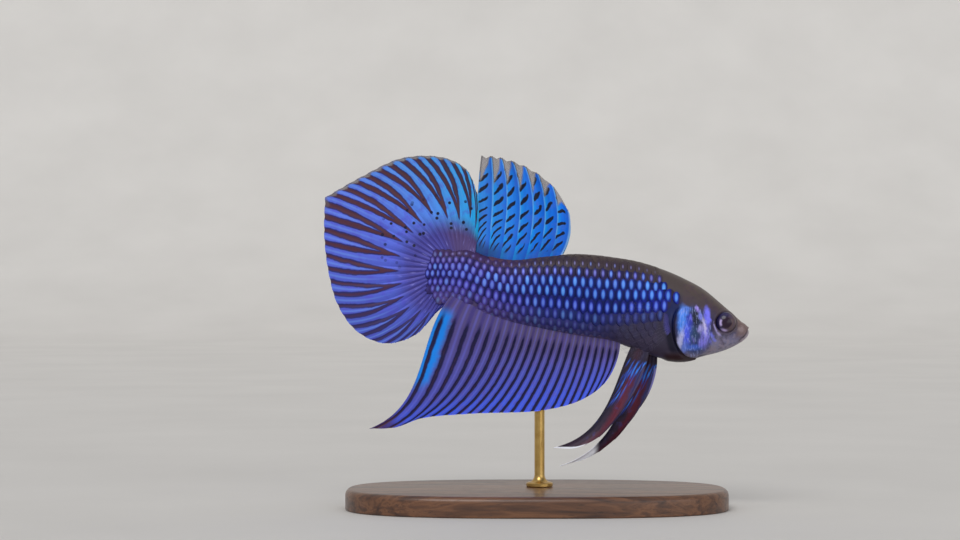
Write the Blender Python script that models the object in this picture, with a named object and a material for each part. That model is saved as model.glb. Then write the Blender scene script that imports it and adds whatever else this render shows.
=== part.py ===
"""A male betta, or Siamese fighting fish, as a still, life-size model on a display stand.

Blender 4.5.  The scene is in metres, and the sizes below are in millimetres.  +Z is up,
the snout points to +X and the fish's right side faces -Y.  The origin is on the surface
that the stand rests on, under the middle of the model.
"""

import math

import bmesh
import bpy
import numpy as np

MM = 0.001
GAP = 0.3           # clear space between two neighbouring pieces
ROUND = 2.2         # 2 makes each body section an ellipse, more makes it squarer
RING = 24           # points round each body section

# The body's sections from the tail root to the snout: where each stands along X, the
# height of its top and bottom edge, and its half width.
BODY = (
    (-16.7, 40.6, 32.6, 1.00),
    (-13.6, 40.8, 32.2, 1.40),
    (-11.2, 41.0, 31.4, 1.75),
    (-8.0, 39.8, 30.2, 2.15),
    (-4.0, 39.1, 29.0, 2.55),
    (1.3, 39.6, 27.9, 3.05),
    (6.0, 40.0, 27.05, 3.45),
    (12.0, 39.5, 26.0, 3.85),
    (16.0, 38.8, 24.6, 4.05),
    (19.4, 37.8, 23.4, 4.20),
    (23.0, 36.3, 23.0, 4.20),
    (26.5, 34.35, 23.8, 3.85),
    (28.8, 32.45, 24.4, 3.30),
    (30.4, 31.05, 25.0, 2.80),
    (31.9, 29.7, 25.8, 2.30),
    (33.4, 28.4, 26.9, 1.80),
)
TAIL_X = BODY[0][0]
SNOUT_X = BODY[-1][0]
TAIL_ROUND = 3.0    # length over which the tail root rounds off
SNOUT_ROUND = 0.9
GILL_X = 20.9       # where the head meets the trunk, halfway up the side
VENT_X = -1.5       # where the trunk meets the tail stalk
CUT_BOW = 1.1       # how far those two meetings curve towards the tail at the side

EYE = (29.4, 2.25, 29.2)          # centre of the left eye
EYE_SIZE = (1.65, 1.25, 1.65)     # its half axes
GILL_COVER = (24.3, 27.8)         # centre of a gill cover, along X and up
GILL_COVER_SIZE = (2.9, 4.0)
GILL_COVER_TILT = math.radians(10)
GILL_COVER_INNER = 0.72           # its inner face, as a share of the body's half width
GILL_RECESS_FLOOR = 0.58          # the floor of the recess that it lies in
JAW_WEDGE = ((35.0, 27.9), (30.9, 25.85), (29.2, 23.5), (35.0, 23.5))

# Each fin: its outer edge as one or more smooth runs of (x, z) points; how far each ray
# curves off its chord near the root and near the tip, as shares of the chord, from the
# first ray to the last; its rays; half its thickness at root and edge; and how far it
# waves out of its plane, how often, and whether it starts to the left (1) or right (-1).
FINS = {
    "caudal_fin": {
        "edge": (
            ((-9.6, 49.3), (-11.1, 53.1), (-14.5, 55.0), (-21.1, 55.0), (-27.7, 52.0), (-33.3, 48.8)),
            ((-33.3, 48.8), (-33.4, 42.9), (-32.7, 37.1), (-31.2, 31.9), (-28.2, 27.8), (-23.8, 25.9),
             (-19.1, 27.2), (-16.1, 30.5)),
        ),
        "bow": ((0.10, 0.13), (0.10, 0.12), (0.07, 0.09), (0.06, 0.08), (0.03, 0.03), (0.0, 0.0),
                (-0.05, -0.07), (-0.06, -0.10), (-0.06, -0.09), (-0.04, -0.07), (0.0, 0.0)),
        "rays": 23, "half": (0.50, 0.26), "wave": (0.8, 2.5, -1),
    },
    "dorsal_fin": {
        "edge": (((-8.7, 55.4), (-5.7, 55.1), (-0.9, 53.2), (3.1, 49.9), (5.1, 46.3)),),
        "spread": ((0.0, 0.35, 0.65, 0.8, 0.92, 1.0), (0.0, 0.22, 0.47, 0.62, 0.8, 1.0)),
        "bow": ((0.0, -0.03), (0.06, 0.10), (0.10, 0.13), (0.12, 0.13), (0.12, 0.12)),
        "rays": 10, "half": (0.50, 0.26), "wave": (0.8, 1.0, 1),
    },
    "anal_fin": {
        "edge": (((-26.3, 12.5), (-22.2, 12.7), (-18.1, 14.1), (-10.4, 14.8), (0.5, 15.3), (6.0, 16.6),
                  (9.0, 18.2), (10.6, 19.6)),),
        "spread": ((0.0, 0.15, 1.0), (0.0, 0.13, 1.0)),
        "bow": ((0.02, -0.26), (-0.06, -0.20), (-0.10, -0.15), (-0.09, -0.10), (-0.06, -0.06),
                (-0.05, -0.05), (-0.10, -0.10)),
        "rays": 26, "half": (0.55, 0.26), "wave": (0.45, 2.0, -1),
    },
    "pelvic_fin_right": {
        "edge": (((2.6, 9.7), (6.0, 9.7), (10.0, 11.7), (12.8, 15.1)),),
        "bow": ((-0.09, -0.27), (-0.05, -0.16), (-0.06, -0.08)),
        "rays": 6, "half": (0.50, 0.27), "wave": (0.0, 0.0, 0),
    },
    "pelvic_fin_left": {
        "edge": (((3.8, 6.4), (8.4, 7.8), (12.6, 10.8), (16.4, 15.7)),),
        "bow": ((-0.11, -0.25), (-0.10, -0.14), (-0.10, -0.10)),
        "rays": 6, "half": (0.50, 0.27), "wave": (0.0, 0.0, 0),
    },
    "pectoral_fin": {
        "edge": (((14.6, 32.6), (12.6, 30.2), (12.0, 27.4), (13.2, 24.8), (15.6, 23.6)),),
        "bow": ((0.06, 0.04), (0.0, 0.0), (-0.06, -0.04)),
        "rays": 11, "half": (0.32, 0.26), "wave": (0.0, 0.0, 0),
    },
}
DORSAL_ROOT = (-9.6, 4.2)         # the stretch of the back that carries the dorsal fin
ANAL_ROOT = (-14.3, 13.1)
CAUDAL_ROOT = (-10.5, -15.3)      # over the tail root, from its top edge to its bottom edge
PELVIC_ROOTS = {"right": (14.7, 17.4), "left": (16.4, 19.0)}
PELVIC_OUT = (1.3, 3.2)           # how far out of the middle plane, at root and tip
PECTORAL_ROOT = ((20.2, 30.4), (20.5, 27.7))
PECTORAL_OUT = (4.95, 7.2)
MEMBRANE_SHARE = 0.85             # a membrane's thickness as a share of its rays'

BASE_SIZE = (60.0, 34.0, 3.2)
BASE_ROUND = 2.6                  # the base's outline: 2 is an ellipse, more is squarer
BASE_BEVEL = 0.9
ROD_XY = (0.5, 2.3)
ROD_RADIUS = 0.8
FLANGE = (2.1, 0.8)               # the radius and height of the rod's foot
SOCKET_DEPTH = 1.6


# --- curves ---------------------------------------------------------------------------

def smooth_run(points, steps=16):
    """A Catmull-Rom curve through the points."""
    p = np.asarray(points, float)
    span = np.sqrt(np.linalg.norm(np.diff(p, axis=0), axis=1))
    knots = np.concatenate([[0.0], np.cumsum(span)])
    slopes = np.gradient(p, knots, axis=0)
    share = np.linspace(0.0, 1.0, steps, endpoint=False)[:, None]
    pieces = [hermite(share, p[i], p[i + 1], slopes[i] * s, slopes[i + 1] * s) for i, s in enumerate(span)]
    return np.vstack(pieces + [p[-1:]])


def hermite(t, start, end, slope_a, slope_b):
    """The cubic from start to end that has the given slopes there."""
    a = (1 + 2 * t) * (1 - t) ** 2
    b = t * (1 - t) ** 2
    c = t * t * (3 - 2 * t)
    d = t * t * (t - 1)
    return a * start + b * slope_a + c * end + d * slope_b


def at_shares(curve, shares):
    """Points at the given shares of a polyline's length."""
    length = np.concatenate([[0.0], np.cumsum(np.linalg.norm(np.diff(curve, axis=0), axis=1))])
    return np.stack([np.interp(shares, length / length[-1], curve[:, i]) for i in (0, 1)], axis=1)


def body_at(x):
    """Top, bottom and half width of the body at x, rounded off at its two ends."""
    stations = np.array(BODY)
    i = int(np.clip(np.searchsorted(stations[:, 0], x) - 1, 0, len(stations) - 2))
    slopes = np.gradient(stations[:, 1:], stations[:, 0], axis=0)
    span = stations[i + 1, 0] - stations[i, 0]
    t = (x - stations[i, 0]) / span
    bends = slopes[i:i + 2] * span
    top, bottom, half = hermite(t, stations[i, 1:], stations[i + 1, 1:], bends[0], bends[1])
    tail = min(max((x - TAIL_X) / TAIL_ROUND, 0.0), 1.0)
    snout = min(max((SNOUT_X - x) / SNOUT_ROUND, 0.0), 1.0)
    closing = math.sqrt(1 - (1 - tail) ** 2) * math.sqrt(1 - (1 - snout) ** 2)
    middle = (top + bottom) / 2
    return middle + closing * (top - middle), middle + closing * (bottom - middle), half * closing


def profile(x_from, x_to, side, count=24):
    """Points along the body's top or bottom edge, closer together near the tail root."""
    reach = np.sqrt((np.array([x_from, x_to]) - TAIL_X))
    xs = TAIL_X + np.linspace(reach[0], reach[1], count) ** 2
    return np.array([(x, body_at(x)[0 if side == "top" else 1]) for x in xs])


def set_off(curve, distance):
    """The curve moved sideways, to the right of its direction, by the distance."""
    along = np.gradient(curve, axis=0)
    along /= np.linalg.norm(along, axis=1)[:, None]
    return curve + distance * np.stack([along[:, 1], -along[:, 0]], axis=1)


# --- meshes ---------------------------------------------------------------------------

def make_object(name, vertices, faces, material):
    """A named mesh object from points in millimetres, its faces turned outwards."""
    mesh = bpy.data.meshes.new(name)
    mesh.from_pydata([tuple(c * MM for c in v) for v in vertices], [], faces)
    bm = bmesh.new()
    bm.from_mesh(mesh)
    bmesh.ops.recalc_face_normals(bm, faces=bm.faces)
    bmesh.ops.triangulate(bm, faces=bm.faces)
    bm.to_mesh(mesh)
    bm.free()
    mesh.shade_smooth()
    mesh.set_sharp_from_angle(angle=math.radians(40))
    obj = bpy.data.objects.new(name, mesh)
    bpy.context.scene.collection.objects.link(obj)
    if material:
        mesh.materials.append(material)
    return obj


def as_cutter(obj):
    """Marks the object as a guide that other objects are cut with."""
    obj.hide_render = True
    obj.display_type = "WIRE"
    return obj


def combine(obj, other, operation):
    """Adds a Boolean of the object with a guide."""
    modifier = obj.modifiers.new(operation.lower() + "_" + other.name, "BOOLEAN")
    modifier.operation = operation
    modifier.object = other


def lofted(name, rings, first_cap, last_cap, material):
    """A closed body through rings of equal length; a cap is a point or None for a flat one."""
    count = len(rings[0])
    vertices = [tuple(p) for ring in rings for p in ring]
    faces = []
    for r in range(len(rings) - 1):
        for i in range(count):
            j = (i + 1) % count
            faces.append((r * count + i, r * count + j, (r + 1) * count + j, (r + 1) * count + i))
    for cap, start in ((first_cap, 0), (last_cap, (len(rings) - 1) * count)):
        if cap is not None:
            vertices.append(tuple(cap))
            tip = len(vertices) - 1
            faces += [(start + i, start + (i + 1) % count, tip) for i in range(count)]
            continue
        half = count // 2
        faces.append((start, start + 1, start + count - 1))
        faces.append((start + half, start + half - 1, start + half + 1))
        for i in range(1, half - 1):
            faces.append((start + i, start + i + 1, start + count - i - 1, start + count - i))
    return make_object(name, vertices, faces, material)


def body_ring(x, bow=0.0, grow=0.0, width=1.0):
    """One section of the body, drawn back towards the tail by the bow at its sides."""
    points = []
    for i in range(RING):
        angle = 2 * math.pi * i / RING
        up, out = math.cos(angle), math.sin(angle)
        place = x - bow * out * out
        top, bottom, half = body_at(place)
        z = (top + bottom) / 2 + ((top - bottom) / 2 + grow) * math.copysign(abs(up) ** (2 / ROUND), up)
        y = (half * width + grow) * math.copysign(abs(out) ** (2 / ROUND), out)
        points.append((place, y, z))
    return points


def body_piece(name, x_from, x_to, count, material, grow=0.0, width=1.0):
    """A length of the body; an end at the tail root or the snout closes in a point."""
    at_tail = x_from == TAIL_X
    at_snout = x_to == SNOUT_X
    shares = np.linspace(0.0, 1.0, count + 1)
    if at_tail:
        shares = shares ** 2
    if at_snout:
        shares = 1 - (1 - shares) ** 1.8
    places = x_from + (x_to - x_from) * shares
    first = (TAIL_X - grow, 0.0, sum(body_at(TAIL_X)[:2]) / 2) if at_tail else None
    last = (SNOUT_X + grow, 0.0, sum(body_at(SNOUT_X)[:2]) / 2) if at_snout else None
    rings = []
    for place, share in zip(places, shares):
        if (at_tail and share == 0.0) or (at_snout and share == 1.0):
            continue
        bow = CUT_BOW * ((share if at_tail else 1.0) * ((1 - share) if at_snout else 1.0))
        rings.append(body_ring(place, bow, grow, width))
    return lofted(name, rings, first, last, material)


def prism(name, outline, y_from, y_to):
    """A straight cutter along Y with an (x, z) outline."""
    count = len(outline)
    vertices = [(x, y, z) for y in (y_from, y_to) for x, z in outline]
    faces = [tuple(range(count)), tuple(range(count, 2 * count))]
    faces += [(i, (i + 1) % count, count + (i + 1) % count, count + i) for i in range(count)]
    return as_cutter(make_object(name, vertices, faces, None))


def ellipsoid(name, centre, half_axes, material, around=20, up=10):
    """A closed ellipsoid with its poles on the axis along Y."""
    rings = []
    for r in range(1, up):
        lift = math.pi * r / up
        rings.append([
            (
                centre[0] + half_axes[0] * math.sin(lift) * math.cos(2 * math.pi * i / around),
                centre[1] + half_axes[1] * math.cos(lift),
                centre[2] + half_axes[2] * math.sin(lift) * math.sin(2 * math.pi * i / around),
            )
            for i in range(around)
        ])
    poles = [(centre[0], centre[1] + s * half_axes[1], centre[2]) for s in (1, -1)]
    return lofted(name, rings, poles[0], poles[1], material)


# --- fins -----------------------------------------------------------------------------

def ray_places(fin, root, across, outward):
    """(x, z) over the fin: rows run from the first ray to the last, columns root to edge."""
    edge = np.vstack([smooth_run(run) for run in fin["edge"]])
    start = at_shares(root, across)
    end = at_shares(edge, np.interp(across, *fin.get("spread", ((0, 1), (0, 1)))))
    chord = end - start
    side = np.stack([chord[:, 1], -chord[:, 0]], axis=1)
    knots = np.linspace(0.0, 1.0, len(fin["bow"]))
    near, far = (np.interp(across, knots, [bow[i] for bow in fin["bow"]])[:, None] for i in (0, 1))
    a = (start + chord / 3 + side * near)[:, None]
    b = (start + chord * 2 / 3 + side * far)[:, None]
    v = outward[None, :, None]
    w = 1 - v
    return w ** 3 * start[:, None] + 3 * v * w * w * a + 3 * v * v * w * b + v ** 3 * end[:, None]


def fin_plate(name, fin, root, out, rows, material):
    """A fin as a closed plate, thicker on its rays; out is its root's and edge's Y."""
    columns = 2 * fin["rays"] - 1
    across = np.linspace(0.0, 1.0, columns)
    outward = np.linspace(0.0, 1.0, rows)
    places = ray_places(fin, root, across, outward)
    size, waves, way = fin["wave"]
    vertices = []
    for side in (-1, 1):
        for i, u in enumerate(across):
            ray = 1.0 if i % 2 == 0 else MEMBRANE_SHARE
            for j, v in enumerate(outward):
                half = max(fin["half"][0] + (fin["half"][1] - fin["half"][0]) * v ** 0.5, fin["half"][1])
                half = max(half * ray, fin["half"][1])
                wave = way * size * math.sin(v * math.pi / 2) * math.cos(waves * math.pi * u)
                middle = out[0] + (out[1] - out[0]) * v + wave
                vertices.append((places[i, j, 0], middle + side * half, places[i, j, 1]))
    sheet = columns * rows
    faces = []
    for i in range(columns - 1):
        for j in range(rows - 1):
            corner = i * rows + j
            near = (corner, corner + 1, corner + rows + 1, corner + rows)
            faces += [near, tuple(sheet + k for k in reversed(near))]
    rim = [i * rows for i in range(columns)]
    rim += [(columns - 1) * rows + j for j in range(1, rows)]
    rim += [i * rows + rows - 1 for i in reversed(range(columns - 1))]
    rim += list(reversed(range(1, rows - 1)))
    for a, b in zip(rim, rim[1:] + rim[:1]):
        faces.append((a, b, sheet + b, sheet + a))
    return make_object(name, vertices, faces, material)


# --- the fish -------------------------------------------------------------------------

def gill_outline(grow):
    """The gill cover's outline, tilted back, as a soft-cornered oval."""
    points = []
    for i in range(28):
        angle = 2 * math.pi * i / 28
        across = (GILL_COVER_SIZE[0] + grow) * math.copysign(abs(math.cos(angle)) ** 0.85, math.cos(angle))
        up = (GILL_COVER_SIZE[1] + grow) * math.copysign(abs(math.sin(angle)) ** 0.85, math.sin(angle))
        x = GILL_COVER[0] + across * math.cos(GILL_COVER_TILT) - up * math.sin(GILL_COVER_TILT)
        z = GILL_COVER[1] + across * math.sin(GILL_COVER_TILT) + up * math.cos(GILL_COVER_TILT)
        points.append((x, z))
    return points


def jaw_outline(drop):
    """The wedge that parts the lower jaw from the head, lowered and drawn forward."""
    (tip, corner, throat, front) = JAW_WEDGE
    return [
        (tip[0], tip[1] - drop),
        (corner[0] + drop, corner[1] - drop),
        (throat[0] + drop, throat[1]),
        front,
    ]


def make_head(skin):
    head = body_piece("head", GILL_X + GAP, SNOUT_X, 18, skin)
    for side, name in ((1, "left"), (-1, "right")):
        recess = prism("gill_recess_" + name, gill_outline(GAP), side * 0.5, side * 9.0)
        web = body_piece("head_web_" + name, GILL_X - 1, SNOUT_X, 12, None, 0.2, GILL_RECESS_FLOOR)
        combine(recess, as_cutter(web), "DIFFERENCE")
        combine(head, recess, "DIFFERENCE")
        centre = (EYE[0], side * EYE[1], EYE[2])
        socket = ellipsoid("eye_socket_" + name, centre, [a + GAP for a in EYE_SIZE], None)
        combine(head, as_cutter(socket), "DIFFERENCE")
    combine(head, prism("jaw_notch", jaw_outline(0.0), -9.0, 9.0), "DIFFERENCE")
    return head


def make_lower_jaw(skin):
    jaw = body_piece("lower_jaw", SNOUT_X - 6.0, SNOUT_X, 14, skin)
    combine(jaw, prism("jaw_wedge", jaw_outline(GAP), -8.0, 8.0), "INTERSECT")
    return jaw


def make_gill_cover(side, name, material):
    cover = body_piece("gill_cover_" + name, GILL_X - 0.5, SNOUT_X - 4.0, 10, material)
    outline = prism("gill_outline_" + name, gill_outline(0.0), side * 0.3, side * 8.0)
    inner = body_piece("gill_web_" + name, GILL_X - 2, SNOUT_X, 12, None, 0.2, GILL_COVER_INNER)
    combine(cover, outline, "INTERSECT")
    combine(cover, as_cutter(inner), "DIFFERENCE")
    return cover


def make_trunk_and_tail(skin):
    body_piece("trunk", VENT_X + GAP, GILL_X, 13, skin)
    body_piece("tail_stalk", TAIL_X, VENT_X, 12, skin)


def make_eyes(material):
    for side, name in ((1, "left"), (-1, "right")):
        ellipsoid("eye_" + name, (EYE[0], side * EYE[1], EYE[2]), EYE_SIZE, material)


def make_fins(material, clear):
    back = set_off(profile(DORSAL_ROOT[0], DORSAL_ROOT[1], "top"), -GAP)
    belly = set_off(profile(ANAL_ROOT[0], ANAL_ROOT[1], "bottom"), GAP)
    over_tail = np.vstack([
        profile(CAUDAL_ROOT[0], TAIL_X, "top"),
        profile(TAIL_X, CAUDAL_ROOT[1], "bottom")[1:],
    ])
    around_tail = set_off(over_tail, GAP)
    fin_plate("dorsal_fin", FINS["dorsal_fin"], back, (0.0, 0.0), 6, material)
    fin_plate("anal_fin", FINS["anal_fin"], belly, (0.0, 0.0), 6, material)
    fin_plate("caudal_fin", FINS["caudal_fin"], around_tail, (0.0, 0.0), 6, material)
    for side, name in ((1, "left"), (-1, "right")):
        root = set_off(profile(*PELVIC_ROOTS[name], "bottom", 8), 2 * GAP)
        out = [side * d for d in PELVIC_OUT]
        fin_plate("pelvic_fin_" + name, FINS["pelvic_fin_" + name], root, out, 7, material)
        out = [side * d for d in PECTORAL_OUT]
        root = np.array(PECTORAL_ROOT)
        fin_plate("pectoral_fin_" + name, FINS["pectoral_fin"], root, out, 5, clear)


# --- the stand ------------------------------------------------------------------------

def turned(name, outline, centre, material, around=24):
    """A turned piece from an outline of (radius, z) that starts and ends on the axis."""
    rings = []
    for radius, z in outline[1:-1]:
        rings.append([
            (
                centre[0] + radius * math.cos(2 * math.pi * i / around),
                centre[1] + radius * math.sin(2 * math.pi * i / around),
                z,
            )
            for i in range(around)
        ])
    ends = [(centre[0], centre[1], outline[i][1]) for i in (0, -1)]
    return lofted(name, rings, ends[0], ends[1], material)


def make_stand_base(wood):
    """A low plate with softly squared ends, a bevelled top edge and a socket for the rod."""
    top = BASE_SIZE[2]
    cut = BASE_BEVEL
    levels = ((0.0, 0.0), (0.0, top - cut), (0.3 * cut, top - 0.3 * cut), (cut, top))
    rings = []
    for inset, z in levels:
        ring = []
        for i in range(48):
            angle = 2 * math.pi * i / 48
            c, s = math.cos(angle), math.sin(angle)
            x = (BASE_SIZE[0] / 2 - inset) * math.copysign(abs(c) ** (2 / BASE_ROUND), c)
            y = (BASE_SIZE[1] / 2 - inset) * math.copysign(abs(s) ** (2 / BASE_ROUND), s)
            ring.append((x, y, z))
        rings.append(ring)
    base = lofted("stand_base", rings, None, None, wood)
    bore = ROD_RADIUS + GAP
    outline = ((0, top - SOCKET_DEPTH), (bore, top - SOCKET_DEPTH), (bore, top + 1), (0, top + 1))
    combine(base, as_cutter(turned("rod_socket", outline, ROD_XY, None)), "DIFFERENCE")
    return base


def make_stand_rod(brass):
    """A plain rod with a flanged foot; its head is hollowed to the belly it carries."""
    top = BASE_SIZE[2]
    foot = top - SOCKET_DEPTH + GAP
    head = sum(body_at(ROD_XY[0])[:2]) / 2 - 1
    outline = (
        (0, foot), (ROD_RADIUS, foot), (ROD_RADIUS, top + GAP), (FLANGE[0], top + GAP),
        (FLANGE[0], top + GAP + 0.5 * FLANGE[1]), (ROD_RADIUS + 0.3, top + GAP + FLANGE[1]),
        (ROD_RADIUS, top + GAP + 1.6 * FLANGE[1]), (ROD_RADIUS, head), (0, head),
    )
    rod = turned("stand_rod", outline, ROD_XY, brass)
    belly = as_cutter(body_piece("belly_clearance", VENT_X - 8, GILL_X - 8, 16, None, GAP))
    combine(rod, belly, "DIFFERENCE")
    return rod


# --- materials ------------------------------------------------------------------------

def make_material(name, colour, roughness, metallic=0.0):
    material = bpy.data.materials.new(name)
    material.use_nodes = True
    shader = material.node_tree.nodes["Principled BSDF"]
    shader.inputs["Base Color"].default_value = (*colour, 1.0)
    shader.inputs["Roughness"].default_value = roughness
    shader.inputs["Metallic"].default_value = metallic
    return material


def main():
    for obj in list(bpy.data.objects):
        bpy.data.objects.remove(obj, do_unlink=True)
    scaled_skin = make_material("scaled_skin", (0.035, 0.045, 0.22), 0.45)
    bright_cover = make_material("bright_cover", (0.13, 0.26, 0.78), 0.30)
    fin_blue = make_material("fin_blue", (0.04, 0.10, 0.55), 0.40)
    clear_fin = make_material("clear_fin", (0.30, 0.28, 0.42), 0.30)
    eye_gloss = make_material("eye_gloss", (0.020, 0.010, 0.014), 0.08)
    walnut = make_material("walnut", (0.085, 0.040, 0.018), 0.45)
    brass = make_material("brass", (0.60, 0.42, 0.17), 0.28, 1.0)
    make_head(scaled_skin)
    make_lower_jaw(scaled_skin)
    make_trunk_and_tail(scaled_skin)
    for side, name in ((1, "left"), (-1, "right")):
        make_gill_cover(side, name, bright_cover)
    make_eyes(eye_gloss)
    make_fins(fin_blue, clear_fin)
    make_stand_base(walnut)
    make_stand_rod(brass)


main()
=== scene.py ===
"""A male betta, or Siamese fighting fish, as a still, life-size museum model on its stand.

Blender 4.5.  The scene is in metres; the fish's own sizes below are in millimetres, in the
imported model's frame: +X towards the snout, +Z up, the fish's right side towards -Y.
"""
import math

import bmesh
import bpy
import numpy as np
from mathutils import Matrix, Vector


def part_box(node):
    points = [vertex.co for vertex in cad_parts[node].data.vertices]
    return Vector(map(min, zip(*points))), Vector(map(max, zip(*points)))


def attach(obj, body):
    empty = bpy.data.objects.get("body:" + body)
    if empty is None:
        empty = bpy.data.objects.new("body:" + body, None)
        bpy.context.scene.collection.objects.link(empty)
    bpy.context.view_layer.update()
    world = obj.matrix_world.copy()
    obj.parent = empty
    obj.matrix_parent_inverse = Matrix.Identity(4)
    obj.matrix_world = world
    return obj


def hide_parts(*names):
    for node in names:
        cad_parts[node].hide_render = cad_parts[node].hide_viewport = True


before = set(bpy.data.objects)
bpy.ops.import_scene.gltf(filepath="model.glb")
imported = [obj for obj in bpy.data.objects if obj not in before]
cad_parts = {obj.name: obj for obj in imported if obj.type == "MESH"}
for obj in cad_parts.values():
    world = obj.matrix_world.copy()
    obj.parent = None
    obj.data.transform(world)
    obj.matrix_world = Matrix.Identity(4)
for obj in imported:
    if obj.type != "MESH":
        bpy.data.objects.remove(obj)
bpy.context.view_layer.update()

MM = 0.001
COAT = 0.16          # the skin lies this far inside the solids, under the scales
TAIL_FOOT = 0.52     # how much thicker the tail fin is where it leaves the body
ROUND = 2.2          # squareness of the body's sections, 2 is an ellipse

# The body's sections from tail root to snout: X, top, bottom, half width.
BODY = np.array((
    (-16.7, 40.6, 32.6, 1.0),
    (-13.6, 40.8, 32.2, 1.4),
    (-11.2, 41.0, 31.4, 1.75),
    (-8.0, 39.8, 30.2, 2.15),
    (-4.0, 39.1, 29.0, 2.55),
    (1.3, 39.6, 27.9, 3.05),
    (6.0, 40.0, 27.05, 3.45),
    (12.0, 39.5, 26.0, 3.85),
    (16.0, 38.8, 24.6, 4.05),
    (19.4, 37.8, 23.4, 4.2),
    (23.0, 36.3, 23.0, 4.2),
    (26.5, 34.35, 23.8, 3.85),
    (28.8, 32.45, 24.4, 3.3),
    (30.4, 31.05, 25.0, 2.8),
    (31.9, 29.7, 25.8, 2.3),
    (33.4, 28.4, 26.9, 1.8),
))
BODY_SLOPES = np.gradient(BODY[:, 1:], BODY[:, 0], axis=0)
TAIL_X, SNOUT_X = BODY[0, 0], BODY[-1, 0]
TAIL_ROUND, SNOUT_ROUND = 3.0, 0.9

# Every fin, as X and Z in the side view.  edge: the rays' tips, from the rear or upper end.
# pace and spread: where the rays start on the root and end on the edge.  bow: how far each
# ray bends aside in its inner and outer half, along the fin.  wave: height, number and way
# of the folds across the rays.  sheet and rods: the membrane and the rays on it.
PELVIC = {
    "rays": 6, "wave": (0.0, 0.0, 0),
    "sheet": {"steps": 14, "rows": 80, "below": -0.12, "pleat": 0.06, "thick": (0.32, 0.07)},
    "rods": {"below": -0.1, "fork": 1.0, "spread": 0.0, "radii": (0.19, 0.08)},
}
FINS = {
    "caudal": {
        "edge": (
            ((-9.3, 49.3), (-11.0, 53.1), (-14.5, 55.0), (-21.1, 55.0), (-27.7, 52.0), (-33.3, 48.8)),
            ((-33.3, 48.8), (-33.4, 42.9), (-32.7, 37.1), (-31.2, 31.9), (-28.2, 27.8), (-23.8, 25.9),
             (-19.1, 27.2), (-16.1, 30.5)),
        ),
        "bow": ((0.02, 0.06), (0.12, 0.15), (0.11, 0.16), (0.1, 0.15), (0.06, 0.09), (0.01, 0.02),
                (-0.05, -0.08), (-0.08, -0.13), (-0.08, -0.13), (-0.05, -0.09), (0.0, 0.0)),
        "rays": 33, "wave": (0.8, 2.5, -1),
        "sheet": {"steps": 10, "rows": 90, "below": -0.13, "scallop": 0.006, "pleat": 0.05, "rib": 0.08,
                  "thick": (0.3, 0.07), "foot": (TAIL_FOOT, 0.14)},
        "rods": {"below": -0.03, "fork": 0.42, "spread": 0.17, "radii": (0.17, 0.085)},
    },
    "dorsal": {
        "edge": (((-8.7, 55.4), (-5.7, 55.1), (-0.9, 53.2), (3.1, 49.9), (5.1, 46.3)),),
        "spread": ((0.0, 0.35, 0.65, 0.8, 0.92, 1.0), (0.0, 0.22, 0.47, 0.62, 0.8, 1.0)),
        "bow": ((0.0, -0.03), (0.06, 0.1), (0.1, 0.13), (0.12, 0.13), (0.12, 0.12)),
        "rays": 8, "wave": (0.8, 1.0, 1),
        "sheet": {"steps": 24, "rows": 70, "below": -0.06, "scallop": 0.025, "pleat": 0.3,
                  "thick": (0.3, 0.07), "foot": (0.2, 0.14)},
        "rods": {"below": -0.05, "fork": 0.5, "spread": 0.1, "radii": (0.18, 0.085)},
    },
    "anal": {
        "edge": (((-26.3, 12.5), (-22.2, 12.7), (-18.1, 14.1), (-10.4, 14.8), (0.5, 15.3), (6.0, 16.6),
                  (9.0, 18.2), (10.6, 19.6)),),
        "pace": ((0.0, 0.02, 0.16, 0.3, 0.48, 0.7, 1.0), (0.0, 0.02, 0.23, 0.39, 0.56, 0.76, 1.0)),
        "spread": ((0.0, 0.15, 1.0), (0.0, 0.13, 1.0)),
        "bow": ((0.02, -0.26), (-0.06, -0.2), (-0.1, -0.15), (-0.09, -0.1), (-0.06, -0.06),
                (-0.05, -0.05), (-0.1, -0.1)),
        "rays": 23, "wave": (0.45, 2.0, -1),
        "sheet": {"steps": 12, "rows": 80, "below": -0.1, "scallop": 0.004, "rib": 0.22,
                  "thick": (0.3, 0.07), "foot": (0.8, 0.32)},
    },
    "pelvic_right": PELVIC | {
        "edge": (((2.6, 9.7), (6.0, 9.7), (10.0, 11.7), (12.8, 15.1)),),
        "bow": ((-0.09, -0.27), (-0.05, -0.16), (-0.06, -0.08)),
    },
    "pelvic_left": PELVIC | {
        "edge": (((3.8, 6.4), (8.4, 7.8), (12.6, 10.8), (16.4, 15.7)),),
        "bow": ((-0.11, -0.25), (-0.1, -0.14), (-0.1, -0.1)),
    },
    "pectoral": {
        "edge": (((14.6, 32.6), (12.6, 30.2), (12.0, 27.4), (13.2, 24.8), (15.6, 23.6)),),
        "bow": ((0.06, 0.04), (0.0, 0.0), (-0.06, -0.04)),
        "rays": 11, "wave": (0.0, 0.0, 0),
        "sheet": {"steps": 10, "rows": 50, "below": -0.08, "scallop": 0.03, "pleat": 0.03,
                  "thick": (0.14, 0.05)},
        "rods": {"below": -0.05, "fork": 0.55, "spread": 0.12, "radii": (0.09, 0.05)},
    },
}
# Where the fins stand on the body's outline, from X to X, and how far out the paired ones
# start and end.
DORSAL_ROOT = (-9.6, 4.2)
ANAL_ROOT = (-14.3, 13.1)
CAUDAL_ROOT = (-9.7, -14.2)
PELVIC_ROOTS = {"right": (14.7, 17.4), "left": (16.4, 19.0)}
PELVIC_OUT = (1.3, 3.2)
PECTORAL_ROOT = ((20.2, 30.4), (20.5, 27.7))
PECTORAL_OUT, PECTORAL_DIP = (4.3, 7.2), 6.0


# --- curves and the body's form -------------------------------------------------------

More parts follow.
